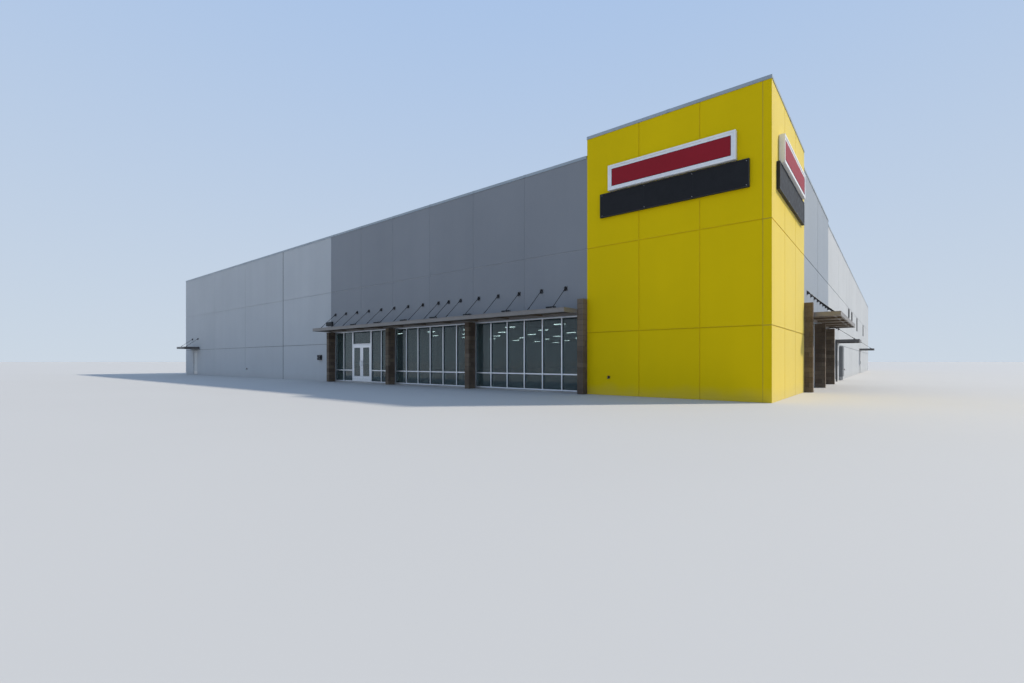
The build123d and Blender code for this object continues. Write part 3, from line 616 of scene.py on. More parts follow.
def coping(node, runs, closed=False, spacing=1.52):
    """runs holds (path, inward directions, segment, top) for each length that this cap covers."""
    piece = Piece(f"{node}_cap")
    for path, inward, segment, top in runs:
        piece.sweep(path, inward, cap_profile(top), coping_metal, (segment,), closed)
        start, end = path[segment], path[(segment + 1) % len(path)]
        direction = (end - start).normalized()
        length = (end - start).length
        count = max(1, round(length / spacing))
        for i in range(1, count):
            centre = start + direction * (i * length / count)
            rings = []
            for side in (-1, 1):
                end = centre + direction * side * (COVER_LENGTH / 2)
                outline = cap_profile(top, COVER_STAND)
                rings.append([end + inward[segment] * d + Vector((0, 0, z)) for d, z in outline])
            piece.prism(rings, cover_metal)
    piece.done(0.0006, node)


front_path = FRONT.line(TOWER_WIDTH + 0.011, FRONT_LENGTH + 0.01)
side_path = SIDE.line(TOWER_DEPTH + 0.011, DARK_SIDE_END - CAP_GAP)
low_path = SIDE.line(DARK_SIDE_END + CAP_GAP, SIDE_LENGTH)
low_path += BACK.line(FRONT_LENGTH) + LEFT.line(WALL + 0.001)
low_inward = [SIDE.inward, BACK.inward, LEFT.inward]
coping("front_coping", [(front_path, [FRONT.inward], 0, PARAPET)])
side_runs = [(side_path, [SIDE.inward], 0, PARAPET), (low_path, low_inward, 0, LOW_PARAPET)]
coping("side_coping", side_runs)
coping("back_coping", [(low_path, low_inward, 1, LOW_PARAPET)])
coping("left_coping", [(low_path, low_inward, 2, LOW_PARAPET)])
crown = FRONT.line(0, TOWER_WIDTH, (TOWER_WIDTH, TOWER_DEPTH), (0, TOWER_DEPTH))
crown_inward = [FRONT.inward, -FRONT.along, -FRONT.inward, FRONT.along]
crown_runs = [(crown, crown_inward, i, TOWER_TOP) for i in range(4)]
coping("tower_coping", crown_runs, True, 1.6)

# Masonry fins: courses of split block with raked mortar joints, and a cap block on the tall ones
COURSE = 0.1
JOINT = 0.005
RAKE = 0.004
SPLIT_RELIEF = 0.0022
SPLITS = (0.05, -0.08)


def fins(side, face, places, painted_light_palest, fade):
    """The last two arguments set the palest tone of the tall fin, raised on the front as painted
    light where that fin stands clear of the canopy's shade, and how much darker it is at its foot.
    """
    piece = Piece(f"{side}_fin_blocks")
    courses = round(HEAD / COURSE)
    for k, place in enumerate(places):
        edges = (place, place + FIN_WIDTH)
        core = grow(edges, -RAKE)
        tall = k == 0
        top = TALL_FIN if tall else HEAD
        piece.block(face, core, (-FIN_DEPTH + RAKE, WALL - RAKE), (0, HEAD), mortar)
        if tall:
            piece.block(face, core, (-FIN_DEPTH + RAKE, -0.001), (HEAD, top - RAKE), mortar)
        for course in range(math.ceil(top / COURSE)):
            low = course * COURSE
            high = min(low + COURSE, top)
            height = (low + (JOINT / 2 if low else 0), high - (JOINT / 2 if high < top else 0))
            splits = (-FIN_DEPTH, SPLITS[course % 2], WALL)
            if course >= courses:
                splits = (-FIN_DEPTH, 0)
            for first, second in zip(splits, splits[1:]):
                near = first + (JOINT / 2 if first > splits[0] else 0)
                far = second - (JOINT / 2 if second < splits[-1] else 0)
                tone = piece.random.random()
                # Tall fin: its tone raised on the front as painted light, and darker towards the
                # foot
                if tall:
                    tone = painted_light_palest - 0.8 * tone - fade * (1 - low / top)
                block = (face, edges, (near, far), height, masonry, tone)
                piece.rough_block(*block, SPLIT_RELIEF)
    piece.done(replaces=f"{side}_fins")


# The front tall fin's higher palest tone is painted light
fins("front", FRONT, FRONT_FINS, 1.7, 1.2)
fins("side", SIDE, SIDE_FINS, 1, 0.2)

# Shop windows: gaskets round each pane, and the rear half of each mullion behind the glass
GASKET = 0.0035
GASKET_DEPTHS = ((0.0815, 0.0898), (0.102, 0.106))
REAR_MULLION = (0.102, 0.145)
REAR_RAIL = (0.102, 0.142)
SILL_TRIM = ((0.045, 0.0305), (0.045, 0.0335), (0.06, 0.04), (0.06, 0.0305))
TOP_RAIL = (HEAD - MULLION, HEAD)
BOTTOM_RAIL = (SLAB, SLAB + MULLION)


def storefront(side, face, grids, transoms=()):
    """grids holds (span, columns) pairs, transoms the width and height of single panes."""
    seals = Piece(f"{side}_window_gaskets")
    backs = Piece(f"{side}_window_rear_mullions")
    for span, columns in grids:
        pitch = (span[1] - span[0] - MULLION) / columns
        for left in row(span[0] + MULLION, pitch, columns):
            for height in ((BOTTOM_RAIL[1], MIDDLE_RAIL[0]), (MIDDLE_RAIL[1], TOP_RAIL[0])):
                for depth in GASKET_DEPTHS:
                    pane = (left, left + pitch - MULLION)
                    seals.surround(face, pane, height, GASKET, depth, rubber)
        for left in row(span[0], pitch, columns + 1):
            backs.block(face, (left, left + MULLION), REAR_MULLION, (SLAB, HEAD), alloy)
        for rail in (BOTTOM_RAIL, MIDDLE_RAIL, TOP_RAIL):
            backs.block(face, grow(span, -MULLION), REAR_RAIL, rail, alloy)
        backs.section(face, grow(span, -0.002), SILL_TRIM, alloy)
    for along, height in transoms:
        seals.surround(face, along, height, GASKET, GASKET_DEPTHS[0], rubber)
        outer = (grow(along, MULLION), grow(height, MULLION))
        backs.surround(face, *outer, MULLION, REAR_RAIL, alloy)
    seals.done(0.0008)
    backs.done(0.0012)


front_bays = [(fin + FIN_WIDTH, fin + FRONT_BAY) for fin in FRONT_FINS[:-1]]
side_bays = [(fin + FIN_WIDTH, fin + SIDE_BAY) for fin in SIDE_FINS[:-1]]
entrance = front_bays[-1]
entrance_pitch = (entrance[1] - entrance[0] - MULLION) / 6
grid_width = 2 * entrance_pitch + MULLION
right_grid = (entrance[0], entrance[0] + grid_width)
left_grid = (entrance[1] - grid_width, entrance[1])
doorway = (right_grid[1], left_grid[0])
transom = (grow(doorway, -MULLION), (ENTRANCE_HEAD + MULLION, TOP_RAIL[0]))
front_grids = [(front_bays[0], 6), (front_bays[1], 6), (right_grid, 2), (left_grid, 2)]
storefront("front", FRONT, front_grids, [transom])
storefront("side", SIDE, [(bay, 4) for bay in side_bays])

# Entrance doors: glazing beads, lock cylinders and a bottom brush on each leaf
STILE = 0.062
LEAF_BOTTOM_RAIL = 0.15
LEAF_TOP_RAIL = 0.075
BEAD = 0.009
BEAD_DEPTHS = ((0.0585, 0.0662), (0.0778, 0.0855))
BEAD_GASKETS = ((0.063, 0.0662), (0.0778, 0.081))
CYLINDER = ((0.06, 0.056, 0.014), (0.056, 0.0535, 0.0095), (0.084, 0.088, 0.014))
CYLINDER_LEVEL = 0.42
leaf_width = (doorway[1] - doorway[0] - 3 * DOOR_GAP) / 2
leaf_low, leaf_high = SLAB + DOOR_GAP, ENTRANCE_HEAD - DOOR_GAP
leaves = {
    "entrance_right": (doorway[0] + DOOR_GAP, doorway[0] + DOOR_GAP + leaf_width),
    "entrance_left": (doorway[1] - DOOR_GAP - leaf_width, doorway[1] - DOOR_GAP),
}
for body, span in leaves.items():
    trim = Piece(f"{body}_door_trim")
    pane = (grow(span, -STILE), (leaf_low + LEAF_BOTTOM_RAIL, leaf_high - LEAF_TOP_RAIL))
    for depth in BEAD_DEPTHS:
        trim.surround(FRONT, *pane, BEAD, depth, alloy)
    inner = [grow(side, -BEAD) for side in pane]
    for depth in BEAD_GASKETS:
        trim.surround(FRONT, *inner, 0.003, depth, rubber)
    meeting = span[1] - STILE / 2 if body == "entrance_right" else span[0] + STILE / 2
    for start, end, radius in CYLINDER:
        trim.rod(FRONT, meeting, (start, end), CYLINDER_LEVEL, radius, steel, 20)
    keyway = band(CYLINDER_LEVEL, 0.01)
    trim.block(FRONT, band(meeting, 0.0022), (0.0525, 0.055), keyway, rubber)
    trim.block(FRONT, grow(span, -0.004), (0.068, 0.076), (leaf_low - 0.003, leaf_low), rubber)
    for level in (leaf_low + LEAF_BOTTOM_RAIL - 0.012, leaf_low + 0.075):
        trim.block(FRONT, grow(span, -0.006), (0.0592, 0.0615), band(level, 0.0022), rubber)
    trim.done(0.0009, body=body)

# Service doors: lock sets and edge trims on the leaves, drip caps and thresholds on the frames
LOCK = ((0.012, 0.0075, 0.0155), (0.0075, 0.004, 0.01))
LOCK_LEVEL = 0.68
KICK_PLATE = (0.045, 0.165)
FRAME_FACE = 0.026
service_bodies = ("front_service", "side_service_near", "side_service_far")
for body, (face, place) in zip(service_bodies, SERVICE_DOORS):
    lock = Piece(f"{body}_lock")
    along = band(place, SERVICE_LEAF)
    centre = along[1] - 0.03
    for start, end, radius in LOCK:
        lock.rod(face, centre, (start, end), LOCK_LEVEL, radius, steel, 20)
    lock.block(face, band(centre, 0.0022), (0.003, 0.005), band(LOCK_LEVEL, 0.01), rubber)
    lock.block(face, band(centre, 0.04), (0.0105, 0.0125), band(0.56, 0.19), steel)
    lock.block(face, grow(along, -0.012), (0.0108, 0.0125), KICK_PLATE, steel)
    lock.block(face, grow(along, -0.003), (0.016, 0.03), (0.0335, 0.0372), rubber)
    lock.done(0.0008, body=body)
trims = Piece("service_door_trims")
drip_cap = raised(((0, 0.012), (-0.02, 0.004), (-0.02, 0), (0, 0.004)), DOORWAY_HEAD)
for face, place in SERVICE_DOORS:
    outer = band(place, DOORWAY)
    clear = grow(outer, -FRAME_FACE)
    trims.section(face, grow(outer, 0.01), drip_cap, zinc)
    trims.block(face, clear, (-0.004, 0.072), (0.0295, 0.0322), zinc)
    height = (SLAB, DOORWAY_HEAD - FRAME_FACE)
    trims.surround(face, clear, height, 0.004, (0.044, 0.06), rubber)
trims.done(0.0008)

# Canopies: channel fascia, boarded soffit, ribbed deck and the beam that the rods hold
FASCIA = (
    (0, 0.014), (0, 0.024), (0.004, 0.027), (0.004, 0.087), (0, 0.09),
    (0, 0.1), (0.03, 0.1), (0.03, 0.095), (0.01, 0.095), (0.01, 0.019),
    (0.03, 0.019), (0.03, 0.014),
)
FASCIA_WEB = 0.01
BEAM_DEPTH = band(-0.46, 0.03)
BOARD = 0.125
BOARD_GAP = 0.0012
BOARD_TOP = 0.058
RIB = 0.15
RIB_PLAN = ((0, 0.066), (0.6, 0.066), (0.66, 0.078), (0.94, 0.078))
JOIST_PITCH = 0.9


def canopy(piece, face, along, level, paint):
    reach = -CANOPY_REACH
    path = face.line((along[0], 0), (along[0], reach), (along[1], reach), (along[1], 0))
    inward = [face.along, face.inward, -face.along]
    inside = grow(along, -FASCIA_WEB)
    front = reach + FASCIA_WEB
    piece.sweep(path, inward, raised(FASCIA, level), paint)
    piece.block(face, inside, (-0.03, 0), (level + 0.001, level + 0.099), paint)
    piece.block(face, inside, BEAM_DEPTH, (level + 0.038, level + 0.0995), paint)
    width = along[1] - along[0] - 2 * FASCIA_WEB
    boards = max(1, round(width / BOARD))
    # Underside boards and joists in the soffit paint, which carries painted shade and painted
    # yellow bounce light
    for i in range(boards):
        start = inside[0] + i * width / boards
        edges = grow((start, start + width / boards), -BOARD_GAP)
        low = level + 0.05 + piece.random.uniform(0, 0.0008)
        piece.block(face, edges, (front, -0.002), (low, level + BOARD_TOP), soffit_painted_shade_and_bounce)
    outline = []
    count = max(2, round(width / RIB))
    for i in range(count):
        start = inside[0] + i * width / count
        outline += [(start + share * width / count, height) for share, height in RIB_PLAN]
    outline += [(inside[1], RIB_PLAN[0][1]), (inside[1], BOARD_TOP), (inside[0], BOARD_TOP)]
    joists = max(1, round(width / JOIST_PITCH))
    for i in range(1, joists):
        centre = along[0] + i * (along[1] - along[0]) / joists
        height = (level + 0.02, level + 0.0505)
        piece.block(face, band(centre, 0.022), (front, -0.028), height, soffit_painted_shade_and_bounce)
    depths = (front - 0.001, -0.001)
    piece.prism([[face.at(a, d, level + z) for a, z in outline] for d in depths], zinc)


for name, face, along in (
    ("front_canopy", FRONT, FRONT_CANOPY),
    ("side_canopy", SIDE, SIDE_CANOPY),
):
    tray = Piece(f"{name}_tray")
    canopy(tray, face, along, HEAD, canopy_paint)
    tray.done(0.0012, name)
small = Piece("small_canopy_trays")
for face, place in SERVICE_DOORS:
    canopy(small, face, band(place, SMALL_CANOPY_WIDTH), SMALL_CANOPY, bronze)
small.done(0.0012, "small_canopies")

# Hanger rods: wall plate with bolts and an ear, a rod with forks at both ends, a foot on the beam
EAR = ((-0.007, 0.034), (-0.032, 0.022), (-0.056, -0.012), (-0.048, -0.03), (-0.007, -0.036))
FOOT = ((-0.48, 0), (-0.48, 0.006), (-0.472, 0.034), (-0.455, 0.038), (-0.44, 0.006), (-0.44, 0))
EAR_PIN = (-0.031, -0.01)
FOOT_PIN = (-0.464, 0.024)
PIN_LENGTH = 0.025
PIN_RADIUS = 0.005
ROD_RADIUS = 0.006
FORK_RADIUS = 0.0086
ROD_SHARES = (0, 0.11, 0.125, 0.86, 0.875, 1)
ROD_RADII = [FORK_RADIUS, FORK_RADIUS, ROD_RADIUS, ROD_RADIUS, FORK_RADIUS, FORK_RADIUS]


def hanger(piece, face, place, level, rise):
    top = level + rise
    piece.block(face, band(place, 0.074), (-0.008, 0), band(top, 0.086), rod_paint)
    for da in (-0.026, 0.026):
        for dz in (-0.032, 0.032):
            piece.rod(face, place + da, (-0.008, -0.0125), top + dz, 0.0055, zinc, 6)
    piece.section(face, band(place, 0.007), raised(EAR, top), rod_paint)
    upper, lower = (EAR_PIN[0], top + EAR_PIN[1]), (FOOT_PIN[0], level + FOOT_PIN[1])
    piece.rod(face, band(place, PIN_LENGTH), *upper, PIN_RADIUS, zinc, 12)
    piece.section(face, band(place, 0.007), raised(FOOT, level), rod_paint)
    sole = (level - 0.0008, level + 0.005)
    piece.block(face, band(place, 0.04), (-0.476, -0.444), sole, rod_paint)
    piece.rod(face, band(place, PIN_LENGTH), *lower, PIN_RADIUS, zinc, 12)
    points = []
    for share in ROD_SHARES:
        d, z = [first + (last - first) * share for first, last in zip(upper, lower)]
        points.append(face.at(place, d, z))
    piece.tube(points, ROD_RADII, rod_paint, 12)


ROD_INSET = 0.265
ROD_PITCH = 0.577
LARGE_RISE = 0.435
SMALL_RISE = 0.37
rods = Piece("canopy_hangers")
section_joint = TOWER_WIDTH + 3.56
front_rods = row(DARK_FRONT_END - ROD_INSET, -ROD_PITCH, 9) + [section_joint + 0.2]
front_rods += row(section_joint - 0.2, -ROD_PITCH, 6)
side_ends = grow(SIDE_CANOPY, -ROD_INSET)
side_rods = row(side_ends[0], (side_ends[1] - side_ends[0]) / 7, 8)
for face, places in ((FRONT, front_rods), (SIDE, side_rods)):
    for place in places:
        hanger(rods, face, place, HEAD + CANOPY_HEIGHT, LARGE_RISE)
for face, place in SERVICE_DOORS:
    for end in band(place, 0.7):
        hanger(rods, face, end, SMALL_CANOPY + CANOPY_HEIGHT, SMALL_RISE)
rods.done(0.0008, "canopy_rods")

# Lamp heads that stand on the front canopy and light the wall
LAMP_PITCH = 1.15
LAMP_SHELL = (
    (-0.135, 1.672), (-0.135, 1.691), (-0.122, 1.699), (-0.068, 1.699), (-0.06, 1.689),
    (-0.06, 1.668),
)
COOLING_FIN = ((-0.128, 1.661), (-0.128, 1.673), (-0.068, 1.669), (-0.068, 1.661))
lamps = Piece("canopy_lamp_heads")
for place in row(FRONT_CANOPY[0] + 0.63, LAMP_PITCH, 7):
    for leg in band(place, 0.12):
        lamps.block(FRONT, band(leg, 0.05), (-0.125, -0.07), (1.577, 1.5825), black)
        lamps.block(FRONT, band(leg, 0.01), (-0.112, -0.084), (1.582, 1.676), black)
    lamps.section(FRONT, band(place, 0.196), LAMP_SHELL, black)
    for fin in row(place - 0.0875, 0.025, 8):
        lamps.section(FRONT, band(fin, 0.004), COOLING_FIN, black)
    lamps.block(FRONT, band(place, 0.176), (-0.0645, -0.0592), (1.672, 1.686), sign_white)
    for side in (-1, 1):
        ends = (place + side * 0.094, place + side * 0.102)
        lamps.rod(FRONT, ends, -0.098, 1.682, 0.008, zinc, 12)
lamps.done(0.0012, "canopy_fixtures")

# Signs: a dark band under a white cabinet with a plain red panel, on both faces of the block
BAND_WIDTH = 2.51
BAND_HEIGHT = (3.25, 3.68)
CABINET_WIDTH = 2.15
CABINET_HEIGHT = (3.7, 4.15)
bands = Piece("sign_band_panels")
cabinets = Piece("sign_cabinet_boxes")
for face, centre in ((FRONT, TOWER_WIDTH / 2), (SIDE, TOWER_DEPTH / 2)):
    along = band(centre, BAND_WIDTH)
    back, rim = [grow(side, -0.006) for side in (along, BAND_HEIGHT)], (-0.05, -0.004)
    bands.block(face, back[0], (-0.044, 0), back[1], sign_black)
    bands.surround(face, along, BAND_HEIGHT, 0.014, rim, black)
    for k in (1, 2):
        seam = band(along[0] + k * BAND_WIDTH / 3, 0.0036)
        bands.block(face, seam, (-0.0446, -0.04), grow(BAND_HEIGHT, -0.014), black)
    for place in row(along[0] + 0.04, (BAND_WIDTH - 0.08) / 3, 4):
        for level in grow(BAND_HEIGHT, -0.032):
            bands.rod(face, place, (-0.044, -0.0475), level, 0.0055, steel, 10)
    along = band(centre, CABINET_WIDTH)
    back = [grow(side, -0.004) for side in (along, CABINET_HEIGHT)]
    cabinets.block(face, back[0], (-0.08, -0.012), back[1], sign_white)
    cabinets.surround(face, along, CABINET_HEIGHT, 0.03, (-0.09, -0.006), sign_white)
    panel = [grow(side, -0.075) for side in (along, CABINET_HEIGHT)]
    cabinets.block(face, panel[0], (-0.0845, -0.078), panel[1], sign_red)
    edge = [grow(side, 0.006) for side in panel]
    cabinets.surround(face, *edge, 0.006, (-0.0825, -0.075), rubber)
    for place in row(along[0] + 0.015, (CABINET_WIDTH - 0.03) / 4, 5):
        for level in grow(CABINET_HEIGHT, -0.015):
            cabinets.rod(face, place, (-0.084, -0.09), level, 0.0045, steel, 10)
    for bracket in row(along[0] + 0.2, 0.583, 4):
        height = grow(CABINET_HEIGHT, -0.012)
        cabinets.block(face, band(bracket, 0.05), (-0.014, 0), height, zinc)
bands.done(0.0015, "sign_bands")
cabinets.done(0.0025, "sign_cabinets", 2)

# Frames of the high windows, given by the place and the height of each
HIGH_WINDOWS = ((15.1, 0.33), (16.8, 0.33), (20.3, 0.6), (26, 0.6))
HIGH_WINDOW_WIDTH = 0.45
HIGH_WINDOW_HEAD = 2.69
SLOT_FRAME = 0.022
LEDGE = ((0.002, -0.011), (-0.019, -0.016), (-0.019, -0.01), (0.002, -0.003))
slots = Piece("high_window_frames")
for place, rise in HIGH_WINDOWS:
    opening = (band(place, HIGH_WINDOW_WIDTH), (HIGH_WINDOW_HEAD - rise, HIGH_WINDOW_HEAD))
    slots.surround(SIDE, *opening, SLOT_FRAME, (0.001, 0.07), slot_paint)
    rim = [grow(side, 0.006) for side in opening]
    slots.surround(SIDE, *rim, SLOT_FRAME, (-0.013, 0.003), slot_paint)
    inner = [grow(side, -SLOT_FRAME) for side in opening]
    slots.block(SIDE, band(place, 0.018), (0.03, 0.049), inner[1], slot_paint)
    slots.surround(SIDE, *inner, 0.003, (0.044, 0.049), rubber)
    slots.section(SIDE, grow(opening[0], 0.012), raised(LEDGE, opening[1][0]), slot_paint)
slots.done(0.0012)

# Fittings on the walls
kit = Piece("wall_fittings_detail")


def lid(face, along, height, front, mat):
    """A lid with a raised rim and two hinges."""
    kit.block(face, along, (front + 0.006, front + 0.01), height, mat)
    kit.surround(face, along, height, 0.012, (front + 0.002, front + 0.008), mat)
    for share in (0.2, 0.8):
        heights = band(height[0] + (height[1] - height[0]) * share, 0.024)
        hinge = (along[0] + 0.003, front + 0.0045)
        kit.rod(face, *hinge, heights, 0.0042, zinc, 12)


# The wall box, with a hood and a latch
box_along, box_height = (12.63, 12.79), (0.66, 0.82)
box = [grow(side, -0.004) for side in (box_along, box_height)]
kit.block(FRONT, box[0], (-0.072, 0), box[1], black)
lid(FRONT, box_along, box_height, -0.08, black)
hood = [(-0.08, 0.814), (-0.08, 0.817), (0, 0.82), (0, 0.812)]
kit.section(FRONT, box_along, hood, black)
kit.rod(FRONT, 12.772, (-0.074, -0.0795), 0.74, 0.007, steel, 14)

# Hose taps: wall flange, stem, spout with its mouth, and a spindle with a hand wheel
TAP_LEVEL = 0.33
SPOUT = ((-0.024, 0.331), (-0.032, 0.329), (-0.037, 0.322), (-0.038, 0.303))
for face, place in ((FRONT, 2.65), (FRONT, 18.2), (SIDE, 12.7)):
    kit.rod(face, place, (0, -0.004), TAP_LEVEL, 0.028, brass, 24)
    kit.rod(face, place, (-0.004, -0.03), TAP_LEVEL, 0.0095, brass, 16)
    kit.tube([face.at(place, d, z) for d, z in SPOUT], 0.0085, brass, 16)
    kit.rod(face, place, -0.038, (0.306, 0.3), 0.0105, brass, 16)
    kit.rod(face, place, -0.024, (0.335, 0.351), 0.0045, brass, 12)
    kit.rod(face, place, -0.024, (0.351, 0.357), 0.017, sign_red, 10)

# The louvred casing over the canopy's left end
casing = (11.975, 12.295)
CASING = ((0, 1.71), (-0.052, 1.71), (-0.06, 1.722), (-0.06, 1.812), (-0.046, 1.835), (0, 1.835))
kit.section(FRONT, casing, CASING, black)
for louvre in row(casing[0] + 0.03, 0.0289, 10):
    kit.block(FRONT, band(louvre, 0.006), (-0.06, -0.056), (1.732, 1.802), rod_paint)
for place in grow(casing, -0.012):
    kit.rod(FRONT, place, (-0.058, -0.06), 1.767, 0.005, zinc, 12)

# The utility cabinet: a body with a roof, two lids with louvres, a handle and two feet
cabinet = (10.9, 11.4)
LOUVRE = ((-0.0945, 0), (-0.0997, -0.007), (-0.0985, -0.0087), (-0.0933, -0.0017))
CABINET_ROOF = ((-0.1, 1.106), (-0.1, 1.111), (0, 1.12), (0, 1.104))
kit.block(SIDE, grow(cabinet, -0.004), (-0.09, 0), (0.12, 1.112), cabinet_paint)
kit.section(SIDE, cabinet, CABINET_ROOF, cabinet_paint)
for along in ((10.908, 11.148), (11.152, 11.392)):
    lid(SIDE, along, (0.132, 1.096), -0.1, cabinet_paint)
    for level in row(0.17, 0.014, 6) + row(0.98, 0.014, 6):
        kit.section(SIDE, grow(along, -0.05), raised(LOUVRE, level), cabinet_paint)
for level in (0.56, 0.61, 0.66):
    kit.block(SIDE, band(11.135, 0.012), (-0.1, -0.092), band(level, 0.03), steel)
for foot in (10.93, 11.33):
    kit.block(SIDE, (foot, foot + 0.04), (-0.07, -0.004), (0, 0.121), zinc)

# The canopy's downspout: a folded pipe with a shoe, and three straps
spout = (9.66, 9.71)
FOLDS = (
    (0, -0.05), (0.016, -0.05), (0.019, -0.046), (0.031, -0.046), (0.034, -0.05),
    (0.05, -0.05), (0.05, -0.004), (0, -0.004),
)
SHOE = ((-0.006, 0.09), (-0.05, 0.09), (-0.05, 0.02), (-0.047, 0), (-0.02, 0), (-0.012, 0.03))
kit.upright(SIDE, [(spout[0] + a, d) for a, d in FOLDS], (0.085, 1.2), bronze)
kit.section(SIDE, grow(spout, -0.002), SHOE, bronze)
for level in (0.22, 0.6, 0.98):
    strap = band(level, 0.022)
    kit.block(SIDE, grow(spout, 0.01), (-0.0035, 0), strap, bronze)
    kit.surround(SIDE, grow(spout, 0.002), strap, 0.002, (-0.05, 0), bronze)
kit.done(0.0008, "wall_fittings")

# Sealant beads in the panel joints, flat strips on the joints that show most, and darker yellow
# strips painted as the reveals' shade across the tower's corner
BEAD_ARC = (
    (-0.0089, 0.0089), (-0.0089, 0.003), (-0.004, 0.0043), (0.004, 0.0043), (0.0089, 0.003),
    (0.0089, 0.0089),
)
OVER_CANOPY = HEAD + 0.102
COPING_GAP = 0.001
seals = Piece("panel_joint_sealant")


def bead(face, place, low, top, mat):
    height = (low, top - COPING_DROP - COPING_GAP)
    seals.upright(face, [(place + a, d) for a, d in BEAD_ARC], height, mat)


for i in range(1, 6):
    place = round(TOWER_WIDTH + i * FRONT_BAY / 2, 4)
    bead(FRONT, place, OVER_CANOPY, PARAPET, deep_sealant if i < 3 else dark_sealant)
bead(SIDE, TOWER_DEPTH + SIDE_BAY, OVER_CANOPY, PARAPET, dark_sealant)
for face, first, count, top in (
    (FRONT, DARK_FRONT_END + 2 * PANEL, 2, PARAPET),
    (SIDE, DARK_SIDE_END + PANEL, 7, LOW_PARAPET),
    (LEFT, PANEL, 10, LOW_PARAPET),
    (BACK, PANEL, 7, LOW_PARAPET),
):
    for place in row(first, PANEL, count):
        bead(face, place, 0, top, light_sealant)
for place, width, top, mat in (
    (DARK_FRONT_END + PANEL, 0.028, PARAPET, joint_cover),
    (WALL, 0.011, TOWER_TOP, yellow_sealant_and_reveal_shade),
):
    height = (0, top - COPING_DROP - COPING_GAP)
    seals.block(FRONT, band(place, width), (-0.0006, 0.004), height, mat)
# Darker yellow strips across the tower's corner at the cast lines: painted shade where the reveals
# would turn the corner
for level in REVEAL_LEVELS:
    seals.block(FRONT, (0, WALL), (-0.0005, 0.004), band(level, 0.014), yellow_sealant_and_reveal_shade)
seals.done()

# Roof: lapped membrane sheets, a fillet and a termination bar along the parapets
LAP = 0.045
ROOF_EDGE = 0.01
FILLET = ((0, 0), (0, 0.05), (0.003, 0.05), (0.05, 0.003), (0.05, 0))
TERMINATION_BAR = ((0, 0.185), (0, 0.2), (0.0035, 0.2), (0.0035, 0.185))
roof = Piece("roof_membrane_laps")
for place in row(FIRST_LAP, ROOF_SHEET, 15):
    behind_tower = place < TOWER_WIDTH + 0.03
    start = TOWER_DEPTH + 0.02 if behind_tower else WALL + ROOF_EDGE
    depth = (start, SIDE_LENGTH - WALL - ROOF_EDGE)
    roof.block(FRONT, (place, place + LAP), depth, (ROOF - 0.001, ROOF + 0.003), lap_membrane)
inner_x = (LEFT_X + WALL, RIGHT_X - WALL)
inner_y = (FRONT_Y + WALL, BACK_Y - WALL)
well = [Vector((x, y, 0)) for x, y in (
    (RIGHT_X - TOWER_WIDTH, inner_y[0]),
    (inner_x[0], inner_y[0]),
    (inner_x[0], inner_y[1]),
    (inner_x[1], inner_y[1]),
    (inner_x[1], FRONT_Y + TOWER_DEPTH),
    (RIGHT_X - TOWER_WIDTH, FRONT_Y + TOWER_DEPTH),
)]
ways_in = ((0, 1), (1, 0), (0, -1), (-1, 0), (0, 1), (-1, 0))
well_inward = [Vector((*way, 0)) for way in ways_in]
roof.sweep(well, well_inward, raised(FILLET, ROOF), lap_membrane, closed=True)
roof.sweep(well, well_inward, raised(TERMINATION_BAR, ROOF), zinc, closed=True)
roof.done(0.001)

# Lamps in the shop hall, seen through the glass
LAMP_ROWS, LAMP_COLUMNS = 10, 8
ROW_PITCH, COLUMN_PITCH = 3, 3.05
FIRST_LAMP_X, FIRST_LAMP_Y = -10.95, -14.05
LENS = ((-0.026, 2.406), (-0.018, 2.388), (0.018, 2.388), (0.026, 2.406))
hall = Piece("hall_strip_lamps")
for y in row(FIRST_LAMP_Y, ROW_PITCH, LAMP_ROWS):
    for x in row(FIRST_LAMP_X, COLUMN_PITCH, LAMP_COLUMNS):
        along, depth = RIGHT_X - x, y - FRONT_Y
        hall.block(FRONT, band(along, 0.66), band(depth, 0.06), (2.405, 2.432), white_enamel)
        glow = [(depth + d, z) for d, z in LENS]
        hall.section(FRONT, band(along, 0.63), glow, diffuser)
        for end in band(along, 0.52):
            hall.rod(FRONT, end, depth, (2.43, 3.961), 0.003, zinc, 6)
hall.done(0.001)

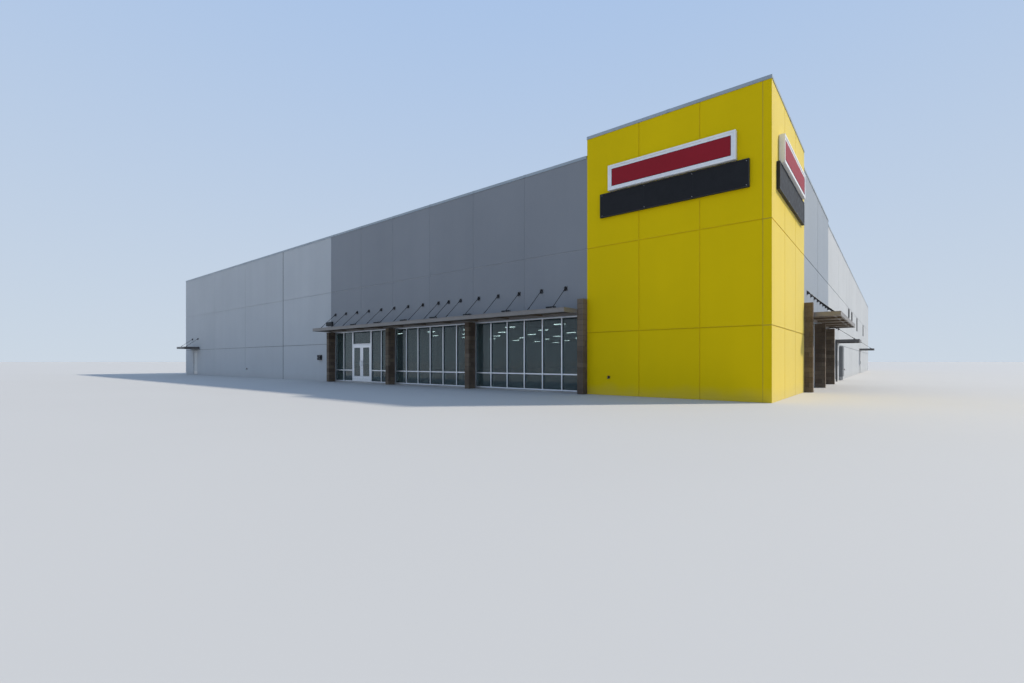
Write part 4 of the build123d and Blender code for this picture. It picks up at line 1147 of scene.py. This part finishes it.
# Plain pale floor, outside the object
FLOOR_REACH = 900
ground_look = Shader("studio_floor", 0.75, gloss=0.2)
tones = ((0.485, 0.475, 0.46), (0.495, 0.485, 0.47))
ground_look.link(Base_Color=ground_look.stained(*tones, 0.35, 0.3, 0.7, detail=3))
ground = bpy.data.meshes.new("studio_floor")
signs = ((-1, -1), (1, -1), (1, 1), (-1, 1))
corners = [(x * FLOOR_REACH, y * FLOOR_REACH, -0.001) for x, y in signs]
ground.from_pydata(corners, [], [(0, 1, 2, 3)])
ground.materials.append(ground_look.mat)
placed("studio_floor", ground)

# Soft light: a broad sun from behind the right of the building, and a pale sky
SUN_ELEVATION = math.radians(42.5)
SUN_AZIMUTH = math.radians(45)
sun = bpy.data.lights.new("soft_key", "SUN")
set_up(sun, energy=3.9, color=(1, 0.925, 0.8), angle=math.radians(2.5))
towards_sun = Vector((
    math.cos(SUN_ELEVATION) * math.cos(SUN_AZIMUTH),
    math.cos(SUN_ELEVATION) * math.sin(SUN_AZIMUTH),
    math.sin(SUN_ELEVATION),
))
placed("soft_key", sun).rotation_euler = towards_sun.to_track_quat("Z", "Y").to_euler()

world = bpy.data.worlds.new("pale_studio")
world.use_nodes = True
tree = world.node_tree
view = add_node(tree, "ShaderNodeTexCoord").outputs["Generated"]
height = add_node(tree, "ShaderNodeSeparateXYZ", {0: view}).outputs["Z"]
share = add_node(tree, "ShaderNodeMapRange", {0: height, 1: 0, 2: 0.75}).outputs[0]
colours = {0: share, 6: (0.6, 0.68, 0.77, 1), 7: (0.36, 0.52, 0.8, 1)}
sky = add_node(tree, "ShaderNodeMix", colours, data_type="RGBA").outputs[2]
tree.links.new(sky, tree.nodes["Background"].inputs["Color"])
scene.world = world

# Camera at the photograph's place and angle
lens = bpy.data.cameras.new("photo_view")
set_up(lens, sensor_width=36, lens=16.606, shift_y=0.0196, clip_start=0.05, clip_end=3000)
camera = placed("photo_view", lens)
camera.location = (13.681, -24.02, 0.613)
camera.rotation_euler = (math.radians(90), 0, math.radians(38.98))
bpy.context.scene.camera = camera
scene.view_settings.view_transform = "Standard"
scene.view_settings.look = "None"
